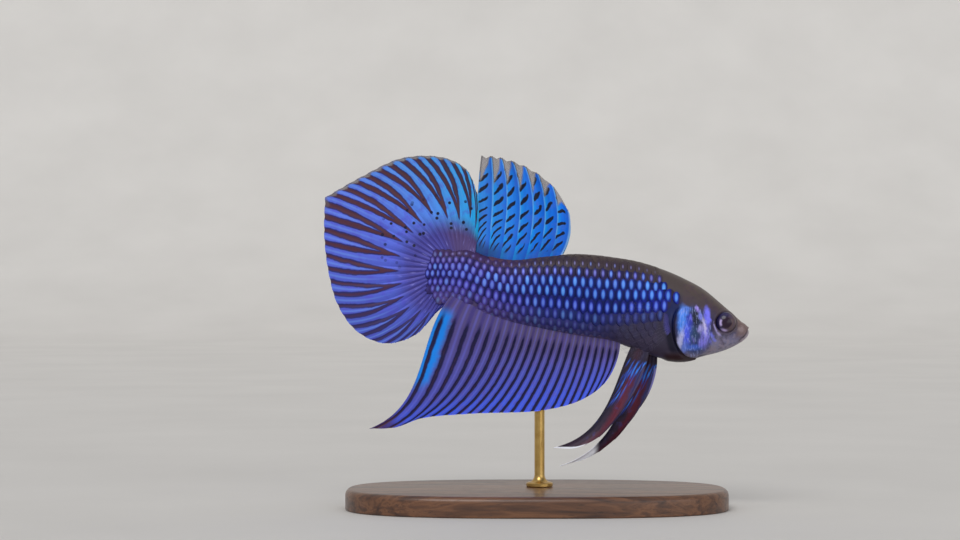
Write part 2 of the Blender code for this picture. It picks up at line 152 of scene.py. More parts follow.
def hermite(t, start, end, slope_a, slope_b):
    return ((1 + 2 * t) * (1 - t) ** 2 * start + t * (1 - t) ** 2 * slope_a
            + t * t * (3 - 2 * t) * end + t * t * (t - 1) * slope_b)


def smooth_run(points, steps=24):
    p = np.asarray(points, float)
    span = np.sqrt(np.linalg.norm(np.diff(p, axis=0), axis=1))
    slopes = np.gradient(p, np.concatenate([[0.0], np.cumsum(span)]), axis=0)
    share = np.linspace(0.0, 1.0, steps, endpoint=False)[:, None]
    runs = [hermite(share, p[i], p[i + 1], slopes[i] * s, slopes[i + 1] * s) for i, s in enumerate(span)]
    return np.vstack(runs + [p[-1:]])


def at_shares(curve, shares):
    length = np.concatenate([[0.0], np.cumsum(np.linalg.norm(np.diff(curve, axis=0), axis=1))])
    return np.stack([np.interp(shares, length / length[-1], curve[:, i]) for i in (0, 1)], axis=-1)


def smoothstep(low, high, value):
    t = np.clip((value - low) / (high - low), 0.0, 1.0)
    return t * t * (3 - 2 * t)


def ridge(value, width):
    """1 where the value is zero, falling softly to nothing over the width."""
    return np.exp(-(value / width) ** 2)


def body_at(x):
    """Middle height, half depth and half width of the body at each x."""
    x = np.asarray(x, float)
    i = np.clip(np.searchsorted(BODY[:, 0], x) - 1, 0, len(BODY) - 2)
    span = (BODY[i + 1, 0] - BODY[i, 0])[..., None]
    t = (x[..., None] - BODY[i, 0][..., None]) / span
    found = hermite(t, BODY[i, 1:], BODY[i + 1, 1:], BODY_SLOPES[i] * span, BODY_SLOPES[i + 1] * span)
    tail = np.clip((x - TAIL_X) / TAIL_ROUND, 0.0, 1.0)
    snout = np.clip((SNOUT_X - x) / SNOUT_ROUND, 0.0, 1.0)
    closing = np.sqrt(1 - (1 - tail) ** 2) * np.sqrt(1 - (1 - snout) ** 2)
    top, bottom, half = found[..., 0], found[..., 1], found[..., 2]
    return (top + bottom) / 2, closing * (top - bottom) / 2, closing * half


def on_body(x, angle):
    """Points on the solids' outer form: the angle runs from the back over the left side."""
    middle, depth, half = body_at(x)
    up, out = np.cos(angle), np.sin(angle)
    z = middle + depth * np.sign(up) * np.abs(up) ** (2 / ROUND)
    y = half * np.sign(out) * np.abs(out) ** (2 / ROUND)
    return np.stack([x + 0 * angle, y, z], axis=-1)


def profile(x_from, x_to, side, count=24):
    reach = np.sqrt(np.array([x_from, x_to]) - TAIL_X)
    x = TAIL_X + np.linspace(reach[0], reach[1], count) ** 2
    middle, depth, _ = body_at(x)
    return np.stack([x, middle + (depth if side == "top" else -depth)], axis=1)


def set_off(curve, distance):
    along = np.gradient(curve, axis=0)
    along /= np.linalg.norm(along, axis=1)[:, None]
    return curve + distance * np.stack([along[:, 1], -along[:, 0]], axis=1)


# --- meshes ---------------------------------------------------------------------------

def box_of(node):
    """A solid's lowest and highest corner and its middle, in millimetres."""
    low, high = (np.array(corner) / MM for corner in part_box(node))
    return low, high, (low + high) / 2


def new_object(name, data):
    thing = bpy.data.objects.new(name, data)
    bpy.context.scene.collection.objects.link(thing)
    return thing


def make_piece(name, points, faces=(), edges=()):
    """A mesh object from points in millimetres, smooth all over."""
    mesh = bpy.data.meshes.new(name)
    mesh.from_pydata((np.asarray(points) * MM).tolist(), edges, faces)
    mesh.shade_smooth()
    return new_object(name, mesh)


def quads(first, second):
    """Faces between two equal rows of vertex numbers."""
    return np.stack([first[:-1], first[1:], second[1:], second[:-1]], axis=1)


def tube_faces(rings, around):
    """Faces of a closed tube of rings, whose last two vertices close its ends in points."""
    faces = []
    loops = [np.append(np.arange(around), 0) + r * around for r in range(rings)]
    for a, b in zip(loops, loops[1:]):
        faces += quads(b, a).tolist()
    poles = rings * around, rings * around + 1
    faces += [(a, b, poles[0]) for a, b in zip(loops[0][:-1], loops[0][1:])]
    faces += [(b, a, poles[1]) for a, b in zip(loops[-1][:-1], loops[-1][1:])]
    return faces


def write_attributes(mesh, fields):
    """Named numbers or vectors, one for each point."""
    for name, values in fields.items():
        kind, field = ("FLOAT", "value") if np.ndim(values) == 1 else ("FLOAT_VECTOR", "vector")
        attribute = mesh.attributes.new(name, kind, "POINT")
        attribute.data.foreach_set(field, np.asarray(values, np.float32).ravel())


def write_map(mesh, places, name="OFBake"):
    """A UV map from one place for each vertex, or for each corner."""
    places = np.asarray(places, np.float32)
    if len(places) != len(mesh.loops):
        corner = np.empty(len(mesh.loops), np.int32)
        mesh.loops.foreach_get("vertex_index", corner)
        places = places[corner]
    mesh.uv_layers.new(name=name).data.foreach_set("uv", places.ravel())


def inset(share):
    """Keeps a place of 0 to 1 just off the map's rim."""
    return 0.01 + 0.98 * share


def flat_map(piece):
    """The map that a fin is baked through: its outline laid flat, as large as fits."""
    mesh = piece.data
    points = np.empty(len(mesh.vertices) * 3, np.float32)
    mesh.vertices.foreach_get("co", points)
    flat = points.reshape(-1, 3)[:, (0, 2)]
    low, high = flat.min(0), flat.max(0)
    write_map(mesh, inset((flat - low) / (high - low)))


def finish_piece(piece, material, slot, *nodes):
    """Hangs the finished piece on the body, in place of the solids it stands for."""
    piece.data.materials.clear()
    piece.data.materials.append(material)
    piece.data.polygons.foreach_set("material_index", np.zeros(len(piece.data.polygons), np.int32))
    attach(piece, "root")
    if nodes:
        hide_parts(*nodes)
    return piece


# --- node trees -----------------------------------------------------------------------

def paint(colour):
    """A wire as it is, or the colour of everyday red, green and blue values up to 255."""
    if isinstance(colour, Wire):
        return colour
    share = [c / 255 for c in colour]
    return tuple(c / 12.92 if c <= 0.04045 else ((c + 0.055) / 1.055) ** 2.4 for c in share) + (1.0,)


def sum_of(operation):
    return lambda wire, other: wire.math(operation, other)


class Wire:
    """A value inside a node tree.  Sums on wires add the nodes that work them out."""

    def __init__(self, tree, socket):
        self.tree, self.socket = tree, socket

    def math(self, operation, *others):
        sockets = dict(enumerate((self, *others)))
        return add_node(self.tree, "ShaderNodeMath", sockets, operation=operation)

    __add__ = __radd__ = sum_of("ADD")
    __mul__ = __rmul__ = sum_of("MULTIPLY")
    __sub__, __truediv__, __pow__ = sum_of("SUBTRACT"), sum_of("DIVIDE"), sum_of("POWER")

    def __rsub__(self, other):
        return (self * -1.0) + other

    def step(self, low, high, turn="SMOOTHSTEP"):
        """0 below low and 1 above high, or the other way round, with a soft turn between."""
        inputs = {"Value": self, "From Min": low, "From Max": high}
        return add_node(self.tree, "ShaderNodeMapRange", inputs, interpolation_type=turn)

    def near(self, middle, width):
        """1 at the middle value, falling softly to 0 at the width on both sides."""
        return (self - middle).math("ABSOLUTE").step(width, 0.0)


def fill(tree, sockets, values):
    """Links or sets sockets, by name or by number.  An underscore stands for a space."""
    for key, value in values.items():
        socket = sockets[key.replace("_", " ") if isinstance(key, str) else key]
        if isinstance(value, Wire):
            tree.links.new(value.socket, socket)
        else:
            socket.default_value = value


def add_node(tree, kind, inputs=None, out=0, **settings):
    """Adds a node, links or sets its inputs, and gives back one output."""
    node = tree.nodes.new(kind)
    for key, value in settings.items():
        setattr(node, key, value)
    fill(tree, node.inputs, inputs or {})
    return Wire(tree, node.outputs[out])


def vector_math(operation, first, *others, **scale):
    """Sums on vectors; Scale is a plain number."""
    inputs = dict(enumerate((first, *others))) | scale
    return add_node(first.tree, "ShaderNodeVectorMath", inputs, operation=operation)


def mix(factor, a, b):
    """Colour a, turning to colour b as the factor goes to 1."""
    inputs = {0: factor, 6: paint(a), 7: paint(b)}
    return add_node(factor.tree, "ShaderNodeMix", inputs, out=2, data_type="RGBA")


def layers(colour, *coats):
    """Lays coats over a colour, one after another; each is a mask and a colour."""
    for mask, coat in coats:
        colour = mix(mask, colour, coat)
    return colour


def ramp(value, *stops):
    """A colour that runs through (place, colour) stops along a value."""
    out = add_node(value.tree, "ShaderNodeValToRGB", {0: value})
    elements = out.socket.node.color_ramp.elements
    while len(elements) < len(stops):
        elements.new(0.5)
    for element, (place, colour) in zip(elements, stops):
        element.position = place
        element.color = paint(colour)
    return out


def noise(vector, scale, detail=2.0, out="Fac"):
    inputs = {"Vector": vector, "Scale": scale, "Detail": detail}
    return add_node(vector.tree, "ShaderNodeTexNoise", inputs, out=out)


def chance_of(value):
    """A random share, the same wherever the value is the same."""
    return add_node(value.tree, "ShaderNodeTexWhiteNoise", {"W": value}, noise_dimensions="1D")


def split(vector):
    node = add_node(vector.tree, "ShaderNodeSeparateXYZ", {0: vector}).socket.node
    return [Wire(vector.tree, socket) for socket in node.outputs]


def join(x, y, z=0.0):
    tree = next(w.tree for w in (x, y, z) if isinstance(w, Wire))
    return add_node(tree, "ShaderNodeCombineXYZ", {0: x, 1: y, 2: z})


def place_in_mm(tree):
    """The point on the surface, in millimetres."""
    return vector_math("SCALE", add_node(tree, "ShaderNodeTexCoord", out="Object"), Scale=1 / MM)


def read(tree, name, out="Fac"):
    """An attribute or UV map of the piece itself."""
    return add_node(tree, "ShaderNodeAttribute", out=out, attribute_name=name)


def new_tree(name, kind, inputs, outputs):
    """An empty node group; gives its tree and its inputs as wires by name."""
    tree = bpy.data.node_groups.new(name, kind + "NodeTree")
    for way, sockets in (("INPUT", inputs), ("OUTPUT", outputs)):
        for socket, form in sockets.items():
            tree.interface.new_socket(socket, in_out=way, socket_type="NodeSocket" + form)
    node = tree.nodes.new("NodeGroupInput")
    return tree, {socket.name: Wire(tree, socket) for socket in node.outputs if socket.name}


def close_tree(tree, **outputs):
    fill(tree, tree.nodes.new("NodeGroupOutput").inputs, outputs)
    return tree


def use(group, out, **inputs):
    """Places a shared group in the tree of its first wired input."""
    tree = next(w.tree for w in inputs.values() if isinstance(w, Wire))
    node = tree.nodes.new("ShaderNodeGroup")
    node.node_tree = group
    fill(tree, node.inputs, inputs)
    outputs = [Wire(tree, node.outputs[name]) for name in out.split(",")]
    return outputs[0] if len(outputs) == 1 else outputs


def bump(height, strength, distance):
    inputs = {"Height": height, "Strength": strength, "Distance": distance * MM}
    return add_node(height.tree, "ShaderNodeBump", inputs)


def feed(shader, **values):
    fill(shader.id_data, shader.inputs, values)


def new_material(name, **settings):
    """A material with one Principled shader; gives it, its tree and the shader."""
    material = bpy.data.materials.new(name)
    material.use_nodes = True
    shader = material.node_tree.nodes["Principled BSDF"]
    feed(shader, **settings)
    return material, material.node_tree, shader


# --- shared effects -------------------------------------------------------------------

def soft_patch_group():
    """The mask of a leaning oval patch, seen from the side, with ragged edges."""
    inputs = dict.fromkeys(("Point", "Middle", "Size"), "Vector") | {"Lean": "Float", "Feather": "Float"}
    tree, give = new_tree("soft_patch", "Shader", inputs, {"Mask": "Float"})
    offset = vector_math("SUBTRACT", give["Point"], give["Middle"])
    turned = add_node(tree, "ShaderNodeVectorRotate", {"Vector": offset, "Angle": give["Lean"]},
                      rotation_type="Y_AXIS")
    across, _, up = split(turned)
    wide, _, high = split(give["Size"])
    reach = ((across / wide) ** 2.0 + (up / high) ** 2.0) ** 0.5
    return close_tree(tree, Mask=reach.step(give["Feather"] + 1.0, 1.0 - give["Feather"]))


def ray_bands_group():
    """Dark stripes between fin rays.  Each starts on every other ray, in a point, and from
    the share named Parted outwards that ray comes up light between its two halves."""
    values = ("Cell", "Outward", "Start", "Full", "Parted", "Width", "Feather", "Wobble")
    inputs = dict.fromkeys(values, "Float") | {"Point": "Vector"}
    tree, give = new_tree("ray_bands", "Shader", inputs, {"Stripe": "Float"})
    stray = (noise(give["Point"], 0.8, 3.0) - 0.5) * give["Wobble"]
    outward = give["Outward"] + (chance_of((give["Cell"] * 0.5).math("FLOOR")) - 0.5) * 0.08
    from_main = (give["Cell"] + stray).math("PINGPONG", 1.0)
    growth = outward.step(give["Start"], give["Full"], "LINEAR")
    parting = (outward + stray * 0.5).step(give["Parted"], 1.0, "LINEAR")
    outer = 1.0 - (0.5 + give["Width"] * 0.5) * (1.0 - (1.0 - growth) ** 1.5)
    inner = 1.0 - (0.5 - give["Width"] * 0.5) * parting ** 0.7
    dark, light = (from_main.step(rim - give["Feather"], rim + give["Feather"]) for rim in (outer, inner))
    stripe = dark * (1.0 - light * parting.step(0.0, 0.06)) * growth.step(0.0, 0.1)
    return close_tree(tree, Stripe=stripe)


def fine_grain_group():
    """Small uneven relief and tone for flesh and membranes."""
    tree, give = new_tree("fine_grain", "Shader", {"Point": "Vector", "Scale": "Float"},
                          {"Tone": "Float", "Height": "Float"})
    return close_tree(tree, Tone=noise(give["Point"], give["Scale"], 4.0),
                      Height=noise(give["Point"], give["Scale"] * 4.0, 3.0))


# --- materials ------------------------------------------------------------------------

# Markings on the side of the head: middle X and Z, half length, half height, lean in
# degrees, softness of the edge, strength and colour.
HEAD_MARKS = (
    (24.4, 27.9, 2.75, 3.8, 8, 0.12, 0.95, (48, 62, 110)),       # the gill cover's dark ground
    (27.36, 29.1, 0.6, 1.7, 4, 0.45, 0.9, (46, 36, 72)),         # the dark cheek before the eye
    (22.72, 29.3, 0.92, 2.4, 2, 0.25, 1.0, (80, 144, 252)),      # the bright rear crescent
    (23.3, 27.4, 0.72, 1.9, -6, 0.35, 0.95, (84, 102, 252)),
    (22.95, 31.2, 0.85, 0.45, 14, 0.4, 0.9, (92, 136, 236)),
    (22.25, 26.4, 0.44, 1.75, -12, 0.4, 0.9, (196, 200, 248)),
    (22.9, 25.3, 0.5, 0.9, -20, 0.45, 0.8, (110, 140, 240)),
    (23.65, 29.7, 0.48, 1.0, 4, 0.3, 0.85, (52, 62, 186)),       # a darker lens inside it
    (23.95, 30.0, 0.2, 0.5, 8, 0.5, 0.9, (116, 116, 248)),
    (24.28, 27.3, 0.6, 1.3, 2, 0.4, 0.8, (50, 78, 112)),
    (24.3, 26.5, 0.16, 0.45, 10, 0.6, 0.6, (116, 100, 210)),
    (24.4, 25.4, 1.25, 0.46, 3, 0.4, 0.9, (70, 112, 222)),       # the azure band at its foot
    (24.66, 30.0, 0.55, 1.35, 4, 0.3, 0.95, (28, 32, 44)),       # dark gaps behind the bar
    (25.6, 29.3, 0.28, 0.6, 0, 0.4, 0.95, (22, 20, 42)),
    (24.9, 31.35, 0.26, 0.5, 22, 0.4, 0.95, (166, 146, 240)),
    (25.38, 30.2, 0.27, 0.65, 8, 0.4, 0.95, (132, 140, 244)),
    (26.48, 30.2, 0.5, 1.5, 6, 0.25, 1.0, (120, 120, 254)),      # the bright bar of the cheek
    (26.15, 27.1, 0.58, 1.65, -2, 0.35, 0.95, (146, 140, 252)),
    (25.36, 28.3, 0.34, 0.6, -10, 0.4, 0.85, (178, 172, 248)),
    (26.03, 28.6, 0.26, 1.2, 10, 0.45, 0.9, (214, 206, 255)),
    (25.55, 26.0, 0.42, 0.7, 10, 0.45, 0.85, (140, 134, 250)),
    (25.85, 26.8, 0.1, 0.5, 4, 0.6, 0.7, (58, 48, 120)),
    (27.2, 27.25, 0.26, 0.44, 20, 0.45, 0.85, (118, 124, 240)),
    (27.62, 26.55, 0.38, 0.2, -35, 0.5, 0.8, (120, 126, 230)),
    (27.0, 26.2, 0.2, 0.34, 30, 0.5, 0.6, (104, 108, 220)),
)


def skin_material(marks, grain):
    """Dull brown above, navy on the flanks, and the painted head."""
    material, tree, shader = new_material(
        "betta_skin", Roughness=0.42, Coat_Weight=0.12, Coat_Roughness=0.25, Specular_IOR_Level=0.3)
    point = place_in_mm(tree)
    tone, relief = use(grain, "Tone,Height", Point=point, Scale=1.1)
    share, front = read(tree, "share"), read(tree, "front")
    ragged = vector_math("ADD", noise(point, 1.6, 3.0, "Color"), (-0.5, -0.5, -0.5))
    side = vector_math("MULTIPLY_ADD", ragged, (0.6, 0.6, 0.6), point)
    ragged_share = share + (tone - 0.5) * 0.1
    # Towards the belly's middle line the flank turns a lighter mauve. This is partly the belly's own colour
    # and partly painted light, lightening the shade that falls under the body.
    flank = ramp(ragged_share, (0.0, (74, 63, 60)), (0.14, (66, 54, 56)), (0.26, (30, 28, 72)),
                 (0.66, (26, 26, 80)), (0.82, (64, 56, 96)), (0.93, (104, 92, 128)))
    rear = ramp(ragged_share, (0.0, (66, 40, 48)), (0.16, (60, 42, 74)), (0.6, (58, 46, 104)),
                (0.84, (82, 68, 116)), (0.95, (98, 84, 118)))
    flank = layers(
        flank,
        (read(tree, "along").step(0.42, 0.16), rear),
        (read(tree, "belly") * 0.85, (60, 54, 72)),
        (read(tree, "nape") * 0.9, (78, 67, 64)))
    head = ramp(share + (tone - 0.5) * 0.16,
                (0.0, (86, 76, 68)), (0.2, (80, 68, 64)), (0.36, (66, 54, 68)),
                (0.54, (82, 78, 110)), (0.7, (130, 126, 158)), (0.84, (138, 132, 156)),
                (1.0, (112, 108, 130)))
    head = mix(tone.step(0.46, 0.64) * 0.35, head, (86, 62, 74))
    blotches = noise(point, 1.5, 4.0)
    head = layers(
        head,
        (blotches.step(0.52, 0.62) * share.step(0.42, 0.62) * 0.5, (156, 142, 156)),
        (blotches.step(0.46, 0.38) * 0.4, (62, 52, 66)))
    colour = mix(front.step(0.3, 0.52), flank, head)
    x, _, z = split(point)
    snout = (x + (tone - 0.5) * 2.0).step(30.4, 31.8) * share.step(0.8, 0.5)
    nostril = use(marks, "Mask", Point=side, Middle=(31.9, 0.0, 28.2), Size=(0.5, 1.0, 0.4),
                  Lean=0.5, Feather=0.6)
    colour = layers(
        colour,
        (snout * 0.85, (118, 96, 92)),
        # painted highlight: a pale patch laid on the snout at the nostril
        (nostril * 0.5, (160, 142, 146)))
    for middle_x, middle_z, long, high, lean, feather, strength, tint in HEAD_MARKS:
        mask = use(marks, "Mask", Point=side, Middle=(middle_x, 0.0, middle_z), Size=(long, 1.0, high),
                   Lean=math.radians(lean), Feather=min(feather * 1.6, 0.9))
        colour = mix(mask * strength, colour, tint)
    streaks = noise(vector_math("MULTIPLY", point, (3.4, 1.0, 0.9)), 1.3, 3.0)
    colour = layers(
        colour,
        (read(tree, "cover") * streaks.step(0.5, 0.66) * 0.36, (50, 56, 124)),
        (read(tree, "cover") * streaks.step(0.46, 0.34) * 0.4, (170, 184, 252)),
        (read(tree, "slot"), mix(z.step(27.0, 31.0), (16, 14, 42), (4, 24, 84))),
        (read(tree, "membrane") * 0.95, (50, 30, 38)),
        (read(tree, "orbit") * 0.7, (74, 60, 70)),
        (read(tree, "arc") * tone.step(0.38, 0.52) * 0.9, (168, 158, 216)),
        (read(tree, "lip") * 0.7, (178, 164, 172)),
        # painted shade: the mouth's sculpted groove is painted near black
        (read(tree, "gape"), (34, 24, 32)))
    feed(shader, Base_Color=colour, Normal=bump(relief, 0.25, 0.05),
         Metallic=read(tree, "cover") * 0.25)
    return material


def scale_material():
    """Each scale has a bright oval on a dark ground; its colour follows its place."""
    material, tree, shader = new_material(
        "betta_scales", Roughness=0.42, Coat_Weight=0.05, Coat_Roughness=0.25, Specular_IOR_Level=0.16)
    back, out, _ = split(read(tree, "Scale", "Vector"))
    share, along, chance, belly, nape = (
        read(tree, name) for name in ("share", "along", "chance", "belly", "nape"))
    long, high, strength = split(read(tree, "spot", "Vector"))
    place = share + (chance - 0.5) * 0.07
    reach = ((back - 0.42) / long) ** 2.0 + (out / high) ** 2.0
    rear = along.step(0.42, 0.16)
    front_tint = ramp(place, (0.12, (150, 136, 170)), (0.24, (116, 116, 234)),
                      (0.34, (88, 150, 254)), (0.48, (80, 142, 254)), (0.6, (92, 118, 248)),
                      (0.72, (80, 92, 206)), (0.84, (84, 78, 160)), (0.96, (92, 80, 140)))
    rear_tint = ramp(place, (0.12, (112, 94, 150)), (0.26, (116, 106, 214)),
                     (0.42, (104, 126, 242)), (0.62, (104, 98, 226)), (0.84, (94, 78, 172)),
                     (0.96, (90, 74, 142)))
    bright = mix(rear, front_tint, rear_tint)
    bright = layers(
        bright,
        (chance.step(0.6, 1.0) * 0.25, (70, 186, 246)),
        # painted highlight: a pale glint laid on the middle of each scale's bright oval
        (reach.step(0.5, 0.0) * 0.28, (156, 190, 255)))
    deep = mix(rear, ramp(place, (0.15, (52, 46, 96)), (0.3, (26, 44, 146)), (0.6, (30, 38, 142)),
                          (0.9, (56, 52, 116))),
               ramp(place, (0.15, (74, 58, 130)), (0.4, (40, 42, 146)), (0.9, (84, 70, 140))))
    # Towards the belly's middle line the ground turns a lighter mauve. This is partly the belly's own
    # colour and partly painted light, lightening the shade that falls under the body.
    ground = mix(rear, ramp(share, (0.1, (70, 58, 58)), (0.22, (44, 34, 58)), (0.32, (8, 24, 88)),
                            (0.62, (10, 24, 90)), (0.74, (32, 46, 112)), (0.9, (58, 60, 116)),
                            (1.0, (96, 84, 126))),
                 ramp(share, (0.06, (84, 56, 80)), (0.2, (40, 30, 88)), (0.6, (20, 20, 84)),
                      (0.8, (62, 50, 108)), (1.0, (100, 84, 130))))
    behind = back.step(-0.25, 0.25)
    blaze = along.step(0.62, 0.7) * share.near(0.53, 0.16)
    ground = layers(
        ground,
        (blaze * behind, (26, 36, 176)),
        (belly * 0.85, (60, 54, 72)),
        (nape * 0.9, (78, 67, 64)),
        (along.step(0.725, 0.745) * (1.0 - behind), (50, 40, 56)))
    core = reach.step(1.4, 0.2) * strength * (chance * 0.3 + 0.75)
    halo = reach.step(3.6, 0.9) * strength * 0.8
    colour = mix(core, mix(halo, ground, deep), bright)
    feed(shader, Base_Color=colour, Metallic=core * 0.25)
    return material


class FinPaint:
    """What every fin's material starts from: its place across and along the rays."""

    def __init__(self, key, groups):
        self.material, self.tree, self.shader = new_material(
            "betta_" + key, Roughness=0.45, Specular_IOR_Level=0.25, Coat_Weight=0.06, Coat_Roughness=0.25)
        self.point = place_in_mm(self.tree)
        self.cell, self.outward, _ = split(read(self.tree, "Rays", "Vector"))
        self.across = self.cell / (FINS[key]["rays"] - 1.0)
        self.tone, self.relief = use(groups["fine_grain"], "Tone,Height", Point=self.point, Scale=0.8)
        self.ragged = self.outward + (self.tone - 0.5) * 0.12
        self.between = self.cell.math("PINGPONG", 0.5) * 2.0
        self.ray = self.between.step(0.34, 0.0)
        self.bands_group = groups["ray_bands"]

    def bands(self, **settings):
        """The dark stripes between the rays."""
        return use(self.bands_group, "Stripe", Cell=self.cell, Outward=self.outward, Point=self.point,
                   **settings)

    def length(self, rear, front):
        """How far the point is from the margin, given the length of the first and last ray."""
        return (1.0 - self.outward) * (self.across * (front - rear) + rear)

    def dots(self, density, size):
        """Small dark dots strewn over the sheet: how many to a millimetre, and how big."""
        x, _, z = split(self.point)
        near = add_node(self.tree, "ShaderNodeTexVoronoi", {"Vector": join(x, z), "Scale": density},
                        voronoi_dimensions="2D")
        return (near + (self.tone - 0.5) * 0.1).step(size * density, size * density * 0.6)

    def stripes(self, colour, dark, edge, heart):
        """Dark stripes whose edges are darker than their hearts."""
        return mix(dark.step(0.5, 0.95), mix(dark.step(0.0, 0.45), colour, edge), heart)

    def finish(self, colour, dark, clear=None, clearness=0.5):
        """Closes the material; clear is where the membrane lets light through."""
        if clear is not None:
            colour = mix(clear, colour, (140, 134, 138))
            feed(self.shader, Alpha=1.0 - clear * clearness)
        feed(self.shader, Base_Color=colour, Metallic=(1.0 - dark) * 0.22,
             Normal=bump(self.relief, 0.2, 0.04))
        return self.material


def caudal_material(groups):
    fin = FinPaint("caudal", groups)
    upper = fin.across.step(0.66, 0.44)
    stripe = fin.bands(Start=0.27, Full=0.8, Parted=0.46, Width=upper * 0.1 + 0.3, Feather=0.15,
                       Wobble=0.24)
    bright = ramp(fin.across + (fin.tone - 0.5) * 0.06,
                  (0.0, (20, 184, 240)), (0.1, (48, 172, 248)), (0.24, (84, 154, 250)),
                  (0.4, (96, 124, 238)), (0.52, (92, 110, 226)), (0.72, (80, 96, 204)),
                  (1.0, (76, 90, 190)))
    bright = layers(
        bright,
        (fin.tone.step(0.48, 0.68) * 0.45, (86, 76, 206)),
        # painted highlight: a lighter line along each ray gives the bright bands a rounded look
        (fin.ray * fin.ragged.step(0.3, 0.8) * 0.35, (124, 172, 255)))
    base = mix(fin.ray * 0.4, (70, 66, 150), (86, 94, 200))
    base = mix(fin.across.step(0.34, 0.18) * 0.7, base, (88, 66, 104))
    glints = noise(join(fin.cell * 1.3, fin.outward * 5.0), 1.6, 2.0)
    base = mix(glints.step(0.6, 0.74) * 0.5, base, (150, 150, 232))
    colour = mix((fin.ragged + fin.across * -0.12).step(0.08, 0.34), base, bright)
    dark = stripe * (upper * 0.15 + 0.85)
    dots = fin.dots(0.5, 0.3) * fin.outward.step(0.11, 0.17) * fin.outward.step(0.56, 0.46) * upper
    heart = ramp(fin.across + (fin.tone - 0.5) * 0.2, (0.0, (44, 46, 70)), (0.16, (76, 50, 62)),
                 (0.35, (86, 48, 60)), (0.6, (82, 42, 64)), (0.8, (56, 44, 96)))
    colour = fin.stripes(colour, dark, (42, 40, 104), heart)
    colour = mix(dots, colour, (16, 16, 50))
    clear = (fin.outward + fin.between * 0.03).step(0.975, 0.998) * fin.across.step(0.5, 0.38) * 0.8
    return fin.finish(colour, dark.math("MAXIMUM", dots), clear, 0.45)


def dorsal_material(groups):
    fin = FinPaint("dorsal", groups)
    beside = fin.cell.math("FRACT")
    chance = chance_of(fin.cell.math("FLOOR"))
    bright = ramp(fin.across + (fin.tone - 0.5) * 0.24,
                  (0.0, (48, 140, 232)), (0.3, (34, 134, 240)), (0.6, (6, 122, 242)),
                  (1.0, (0, 116, 240)))
    bright = layers(
        bright,
        # painted light and shade of the pleats: each sector is lighter just after one ray and darker before
        # the next
        (beside.step(0.4, 0.0) * 0.6, (10, 168, 248)),
        (beside.step(0.5, 0.98) * 0.6, (8, 88, 212)),
        (fin.tone.step(0.46, 0.66) * 0.5, (62, 110, 220)))
    rear = fin.across.step(0.45, 0.1)
    low = fin.outward.step(0.5, 0.05)
    row = (1.0 - fin.outward) * (9.0 - 4.6 * fin.across) + beside * (1.35 + low * (0.8 + 2.2 * rear))
    row = (row + chance * 1.7 + (fin.tone - 0.5) * 0.6).math("FRACT") - 0.5
    thick = fin.tone * 0.16 + 0.1
    reach = ((row / thick) ** 2.0 + ((beside - 0.36 + (chance - 0.5) * 0.1) / 0.33) ** 4.0) ** 0.5
    dashes = reach.step(1.25, 0.8) * fin.outward.step(0.02, 0.06)
    seam = fin.ray * fin.outward.step(0.05, 0.3)
    bright = mix(seam.step(0.62, 0.95) * 0.55, bright, (112, 190, 248))
    colour = mix(dashes, bright, (4, 14, 44))
    foot = fin.outward.step(0.16, 0.02) * (rear * 0.5 + 0.3)
    colour = mix(foot, colour, (24, 38, 96))
    wedge = (fin.outward - beside * 0.34 + (fin.tone - 0.5) * 0.08).step(0.66, 0.74)
    wedge = wedge * beside.step(0.9, 0.76) * beside.step(0.02, 0.1)
    corner = (fin.across * -1.7 + fin.outward).step(0.76, 0.86)
    clear = fin.outward.step(0.975, 0.995).math("MAXIMUM", corner).math("MAXIMUM", wedge)
    rim = fin.across.step(0.975, 0.995)
    colour = mix(rim * 0.7, colour, (140, 196, 248))
    return fin.finish(colour, dashes, clear * (1.0 - rim), 0.5)


def anal_material(groups):
    fin = FinPaint("anal", groups)
    wide = fin.across.step(0.45, 0.1) * -0.03 + 0.21
    stripe = fin.bands(Start=-0.1, Full=0.1, Parted=-30.0, Width=wide, Feather=0.2, Wobble=0.2)
    bright = ramp(fin.outward + (fin.tone - 0.5) * 0.14,
                  (0.05, (98, 86, 124)), (0.22, (92, 84, 146)), (0.46, (84, 92, 196)),
                  (0.9, (68, 100, 246)))
    bright = layers(
        bright,
        (fin.tone.step(0.48, 0.7) * 0.45, (100, 80, 160)),
        (fin.across.step(0.5, 0.12) * fin.outward.step(0.95, 0.6) * 0.55, (86, 76, 146)),
        # painted shade and highlight of the ribs: darker towards each rib's edges, lighter along the ray at
        # its middle
        (fin.between.step(0.45, 0.85) * 0.5, (58, 48, 140)),
        (fin.ray * 0.3, (120, 124, 248)))
    edge = (fin.across + (fin.tone - 0.5) * 0.03).step(0.068, 0.04) * fin.outward.step(0.0, 0.1)
    edge = edge * fin.outward.step(0.66, 0.5)
    bright = mix(edge * 0.95, bright, (10, 142, 250))
    rear = fin.across.step(0.5, 0.15) * fin.outward.step(0.15, 0.4)
    dark = stripe * fin.outward.step(0.0, 0.2)
    wine = mix(rear * fin.tone.step(0.4, 0.62) * 0.8, (24, 20, 62), (84, 34, 56))
    colour = fin.stripes(bright, dark, (26, 22, 70), wine)
    tip = (fin.outward - fin.across * 2.2).step(0.72, 0.9)
    colour = mix(tip * 0.85, colour, (74, 38, 56))
    return fin.finish(colour, dark)


